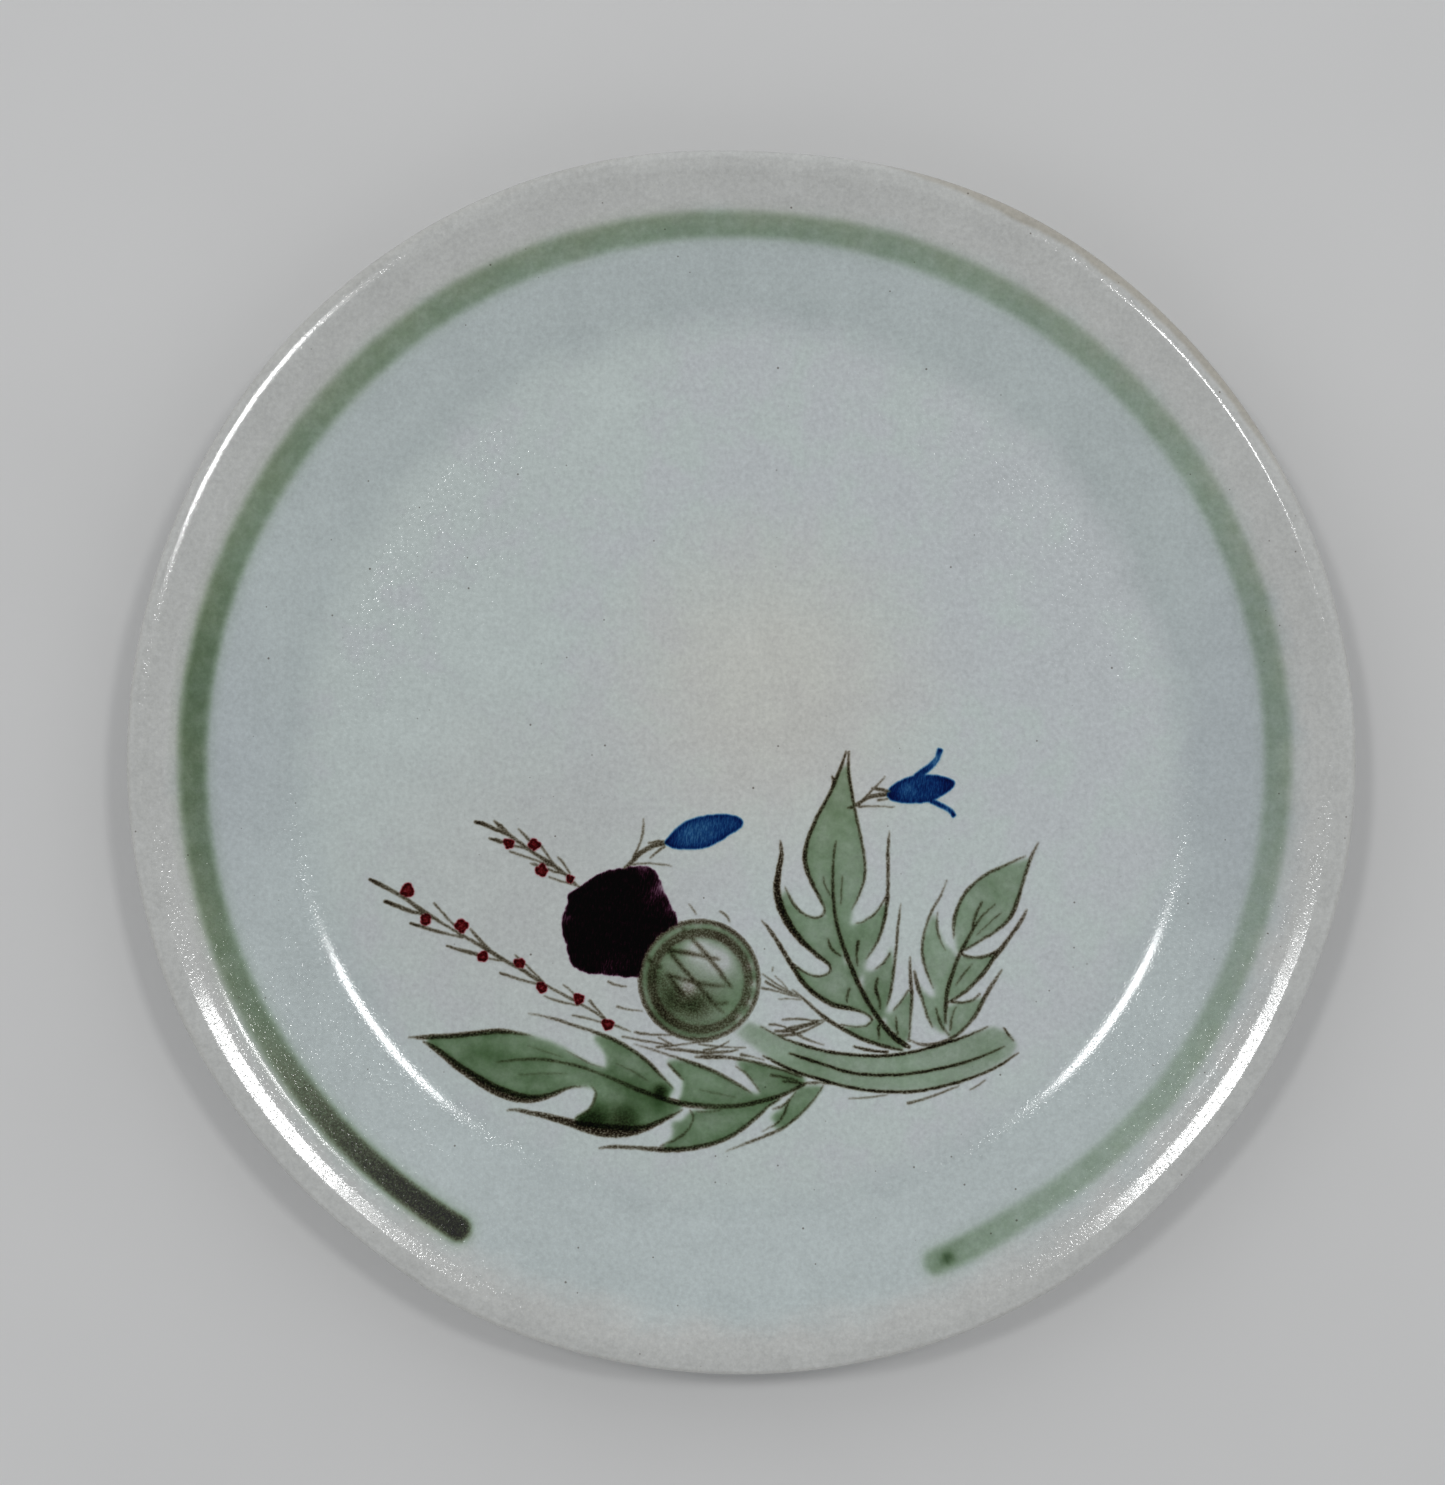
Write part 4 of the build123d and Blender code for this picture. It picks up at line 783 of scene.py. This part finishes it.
def glaze_colour(tree, place):
    """Satin grey-blue glaze from the well to the lip, mottled and finely specked."""
    flat = vector(tree, "MULTIPLY", place, (1, 1, 0))
    radius = add(tree, "VectorMath", {0: flat}, operation="LENGTH").outputs["Value"]
    across = add(tree, "SeparateXYZ", {"Vector": flat})
    drift = scaled(tree, calculate(tree, "SUBTRACT", noise(tree, place, 9.0, 3.0), 0.5), 9.0)
    patches = summed(tree, noise(tree, place, 8.0, 4.0), scaled(tree, noise(tree, place, 28.0), 0.8))
    zone = summed(tree, radius, drift)
    tilted_zone = summed(tree, zone, scaled(tree, across.outputs["Y"], 0.02))
    colour = well_colour(tree, flat, drift, patches)
    colour = blend(tree, remap(tree, zone, *WALL_BLEND, 0.0, 1.0), colour, wall_colour(tree, across))
    colour = blend(tree, remap(tree, tilted_zone, *RIM_BLEND, 0.0, 1.0), colour, RIM_COLOUR)
    colour = blend(tree, toasted_lip(tree, flat, radius, drift), colour, LIP_COLOUR)
    fine = scaled(tree, noise(tree, place, 1.0, 4.0, 0.75), 0.56)
    mottle = summed(tree, summed(tree, 0.585, fine), scaled(tree, patches, 0.16))
    shade = add(tree, "CombineColor", {"Red": mottle, "Green": mottle, "Blue": mottle}).outputs["Color"]
    colour = blend(tree, 1.0, colour, shade, "MULTIPLY")
    return blend(tree, scaled(tree, specks(tree, place, *SPECKS), 0.75), colour, SPECK_COLOUR)


def glaze_relief(tree, place):
    """Scattered fine crystals on a nearly smooth face with a slight orange peel, as a normal."""
    crystals = remap(tree, noise(tree, place, 0.5, 1.0, 0.5), 0.52, 0.80, 0.0, CRYSTAL_HEIGHT)
    height = summed(tree, crystals, scaled(tree, noise(tree, place, 4.0, 1.0), ORANGE_PEEL))
    return add(tree, "Bump", {"Strength": 1.0, "Distance": MM, "Height": height}).outputs["Normal"]


def pigment_amounts(tree, place):
    """Each pigment's amount at the point, with the brush's grain in it."""
    grain = noise(tree, place, 0.45, 3.0, 0.7)
    flow = noise(tree, place, 3.5, 3.0, 0.6)
    turn = {"Vector": place, "Rotation": (0, 0, math.radians(-8)), "Scale": (0.25, 1.2, 1)}
    streaked = add(tree, "Mapping", turn, vector_type="TEXTURE").outputs["Vector"]
    strokes = noise(tree, streaked, 1.1, 3.0, 0.6)
    uneven = {
        "green": remap(tree, flow, 0.25, 0.75, 0.84, 1.17),
        "iron": remap(tree, grain, 0.3, 0.7, 0.4, 1.6),
        "brown": remap(tree, grain, 0.3, 0.7, 0.55, 1.45),
        "cobalt": remap(tree, strokes, 0.3, 0.7, 0.72, 1.28),
        "red": remap(tree, grain, 0.3, 0.7, 0.6, 1.4),
        "purple": remap(tree, strokes, 0.3, 0.7, 0.55, 1.45),
    }
    amounts = {}
    for pigment, change in uneven.items():
        amount = add(tree, "Attribute", attribute_name=pigment).outputs["Fac"]
        amounts[pigment] = scaled(tree, amount, change)
    return amounts


def stained(tree, colour, amounts):
    """The glaze's colour seen through the pigments melted into it."""
    depth = (0, 0, 0)
    for pigment, amount in amounts.items():
        part = add(tree, "VectorMath", {0: PIGMENT_DEPTHS[pigment], "Scale": amount}, operation="SCALE")
        depth = vector(tree, "ADD", depth, part.outputs[0])
    split = add(tree, "SeparateXYZ", {"Vector": depth})
    through = add(tree, "CombineColor")
    for axis, channel in zip("XYZ", ("Red", "Green", "Blue")):
        clear = calculate(tree, "POWER", math.exp(-1), split.outputs[axis])
        tree.links.new(clear, through.inputs[channel])
    return blend(tree, 1.0, colour, through.outputs["Color"], "MULTIPLY")


def glaze_material(name, painted):
    """The satin glaze, with the decoration's pigments in it where the piece is painted."""
    material, tree = new_material(name)
    place = place_in_mm(tree)
    colour = glaze_colour(tree, place)
    if painted:
        colour = stained(tree, colour, pigment_amounts(tree, place))
    roughness = remap(tree, noise(tree, place, 1.2, 2.0), 0.3, 0.7, *GLAZE_ROUGHNESS)
    relief = glaze_relief(tree, place)
    shader = add(tree, "BsdfPrincipled", {
        "Base Color": colour,
        "Roughness": roughness,
        "Normal": relief,
        "Specular IOR Level": 0.0,
        "Coat Weight": 1.0,
        "Coat Roughness": COAT_ROUGHNESS,
        "Coat IOR": 1.5,
        "Coat Normal": relief,
    })
    surface(tree, shader)
    return material


def clay_material():
    """Bare toasted stoneware with dark grog, at the wiped foot ring."""
    material, tree = new_material("stoneware_clay")
    place = place_in_mm(tree)
    cloud = remap(tree, noise(tree, place, 5.0, 4.0, 0.6), 0.3, 0.7, 0.0, 1.0)
    toasted = blend(tree, cloud, CLAY_DARK, CLAY_LIGHT)
    colour = blend(tree, scaled(tree, specks(tree, place, *GROG), 0.8), toasted, GROG_COLOUR)
    height = scaled(tree, noise(tree, place, 0.5, 4.0, 0.7), 0.08)
    normal = add(tree, "Bump", {"Strength": 1.0, "Distance": MM, "Height": height}).outputs["Normal"]
    roughness = remap(tree, noise(tree, place, 2.0, 2.0), 0.3, 0.7, *CLAY_ROUGHNESS)
    inputs = {"Base Color": colour, "Roughness": roughness, "Normal": normal}
    surface(tree, add(tree, "BsdfPrincipled", inputs))
    return material


# ---------------------------------------------------------------- pieces of the plate
def recess_spacing(radius, height):
    """Ring spacing under the plate: wide in the middle, closer near the foot ring."""
    return 4.0 if radius < 70 else 0.8


def foot_spacing(radius, height):
    """Ring spacing on the bare clay of the foot ring."""
    return 0.5


def plate_pieces():
    """Clay body, upper and outer glaze, and the glaze inside the foot ring."""
    line = plate_line()
    bare = line[:, 1] < BARE_FOOT
    outer_end = int(np.argmax(bare))
    inner_start = len(line) - int(np.argmax(bare[::-1]))
    outer = spaced(line[:outer_end], face_spacing)
    recess = spaced(line[inner_start:], recess_spacing)
    inner_clay = inset(outer, GLAZE_THICKNESS)[::HIDDEN_THINNING]
    recess_clay = inset(recess, GLAZE_THICKNESS)
    glaze = glaze_material("satin_glaze", painted=False)
    clay = clay_material()
    foot = spaced(line[outer_end:inner_start], foot_spacing)
    coat = np.concatenate([outer, inner_clay[::-1]])
    recess_coat = np.concatenate([recess_clay[:1], recess, recess_clay[::-1]])
    body = np.concatenate([inner_clay, foot, recess_clay])
    turned_piece("glaze_face_and_wall", coat, "glaze_coat", glaze)
    turned_piece("glaze_inside_foot", recess_coat, "glaze_foot_recess", glaze)
    turned_piece("clay_body", body, "stoneware_body", clay)
    return line


def decoration(line):
    """Every brush mark of the decoration, and the rim band."""
    fields = pigment_fields()
    material = glaze_material("painted_glaze", painted=True)
    place_in_stack = 0
    for names, slot in LAYERS:
        washes = names is WASH_NODES
        for name in names:
            step = WASH_STEP if washes else LINE_STEP
            width = WASH_SOFTNESS if washes else LINE_SOFTNESS
            painted_skin(name, place_in_stack, step, width, line, fields, material)
            place_in_stack += 1
    band_skin(line, material)


# ---------------------------------------------------------------- studio
def floor():
    """A plain pale floor that the plate rests on."""
    half = FLOOR_HALF
    corners = [(-half, -half, 0), (half, -half, 0), (half, half, 0), (-half, half, 0)]
    mesh = bpy.data.meshes.new("floor")
    mesh.from_pydata(corners, [], [(0, 1, 2, 3)])
    material, tree = new_material("pale_floor")
    place = place_in_mm(tree)
    colour = blend(tree, noise(tree, place, 60.0, 3.0), FLOOR_DARK, FLOOR_LIGHT)
    surface(tree, add(tree, "BsdfPrincipled", {"Base Color": colour, "Roughness": 0.9}))
    mesh.materials.append(material)
    made = bpy.data.objects.new("floor", mesh)
    bpy.context.scene.collection.objects.link(made)


def studio_light(number, direction):
    """One soft rectangular lamp that points at the plate."""
    data = bpy.data.lights.new(f"softbox_{number}", "AREA")
    data.shape = "RECTANGLE"
    data.size, data.size_y = LIGHT_SIZE
    data.energy = LIGHT_POWER
    lamp = bpy.data.objects.new(data.name, data)
    bpy.context.scene.collection.objects.link(lamp)
    lamp.location = [part * LIGHT_DISTANCE * MM for part in direction]
    lamp.rotation_mode = "QUATERNION"
    lamp.rotation_quaternion = lamp.location.to_track_quat("Z", "Y")


def soft_room():
    """Pale light from all sides, a little stronger from +Y, and darkness straight above the plate."""
    world = bpy.data.worlds.new("soft_room")
    world.use_nodes = True
    tree = world.node_tree
    direction = add(tree, "SeparateXYZ", {"Vector": add(tree, "TexCoord").outputs["Generated"]}).outputs
    from_above = summed(tree, 0.93, scaled(tree, direction["Y"], 0.22))
    strength = scaled(tree, remap(tree, direction["Z"], 0.80, 0.93, 0.65, 0.05), from_above)
    background = tree.nodes["Background"]
    tree.links.new(strength, background.inputs["Strength"])
    background.inputs["Color"].default_value = (*SKY_COLOUR, 1)
    return world


def studio():
    """Floor, lamps, soft sky and camera."""
    floor()
    for number, direction in enumerate(LIGHT_DIRECTIONS):
        studio_light(number, direction)
    bpy.context.scene.world = soft_room()
    camera = bpy.data.cameras.new("camera")
    camera.lens = CAMERA_LENS
    camera.sensor_width = 36
    placed = bpy.data.objects.new("camera", camera)
    placed.location = [part * MM for part in CAMERA_PLACE]
    bpy.context.scene.collection.objects.link(placed)
    bpy.context.scene.camera = placed
    bpy.context.scene.view_settings.view_transform = "Standard"


plate_section_line = plate_pieces()
decoration(plate_section_line)
studio()
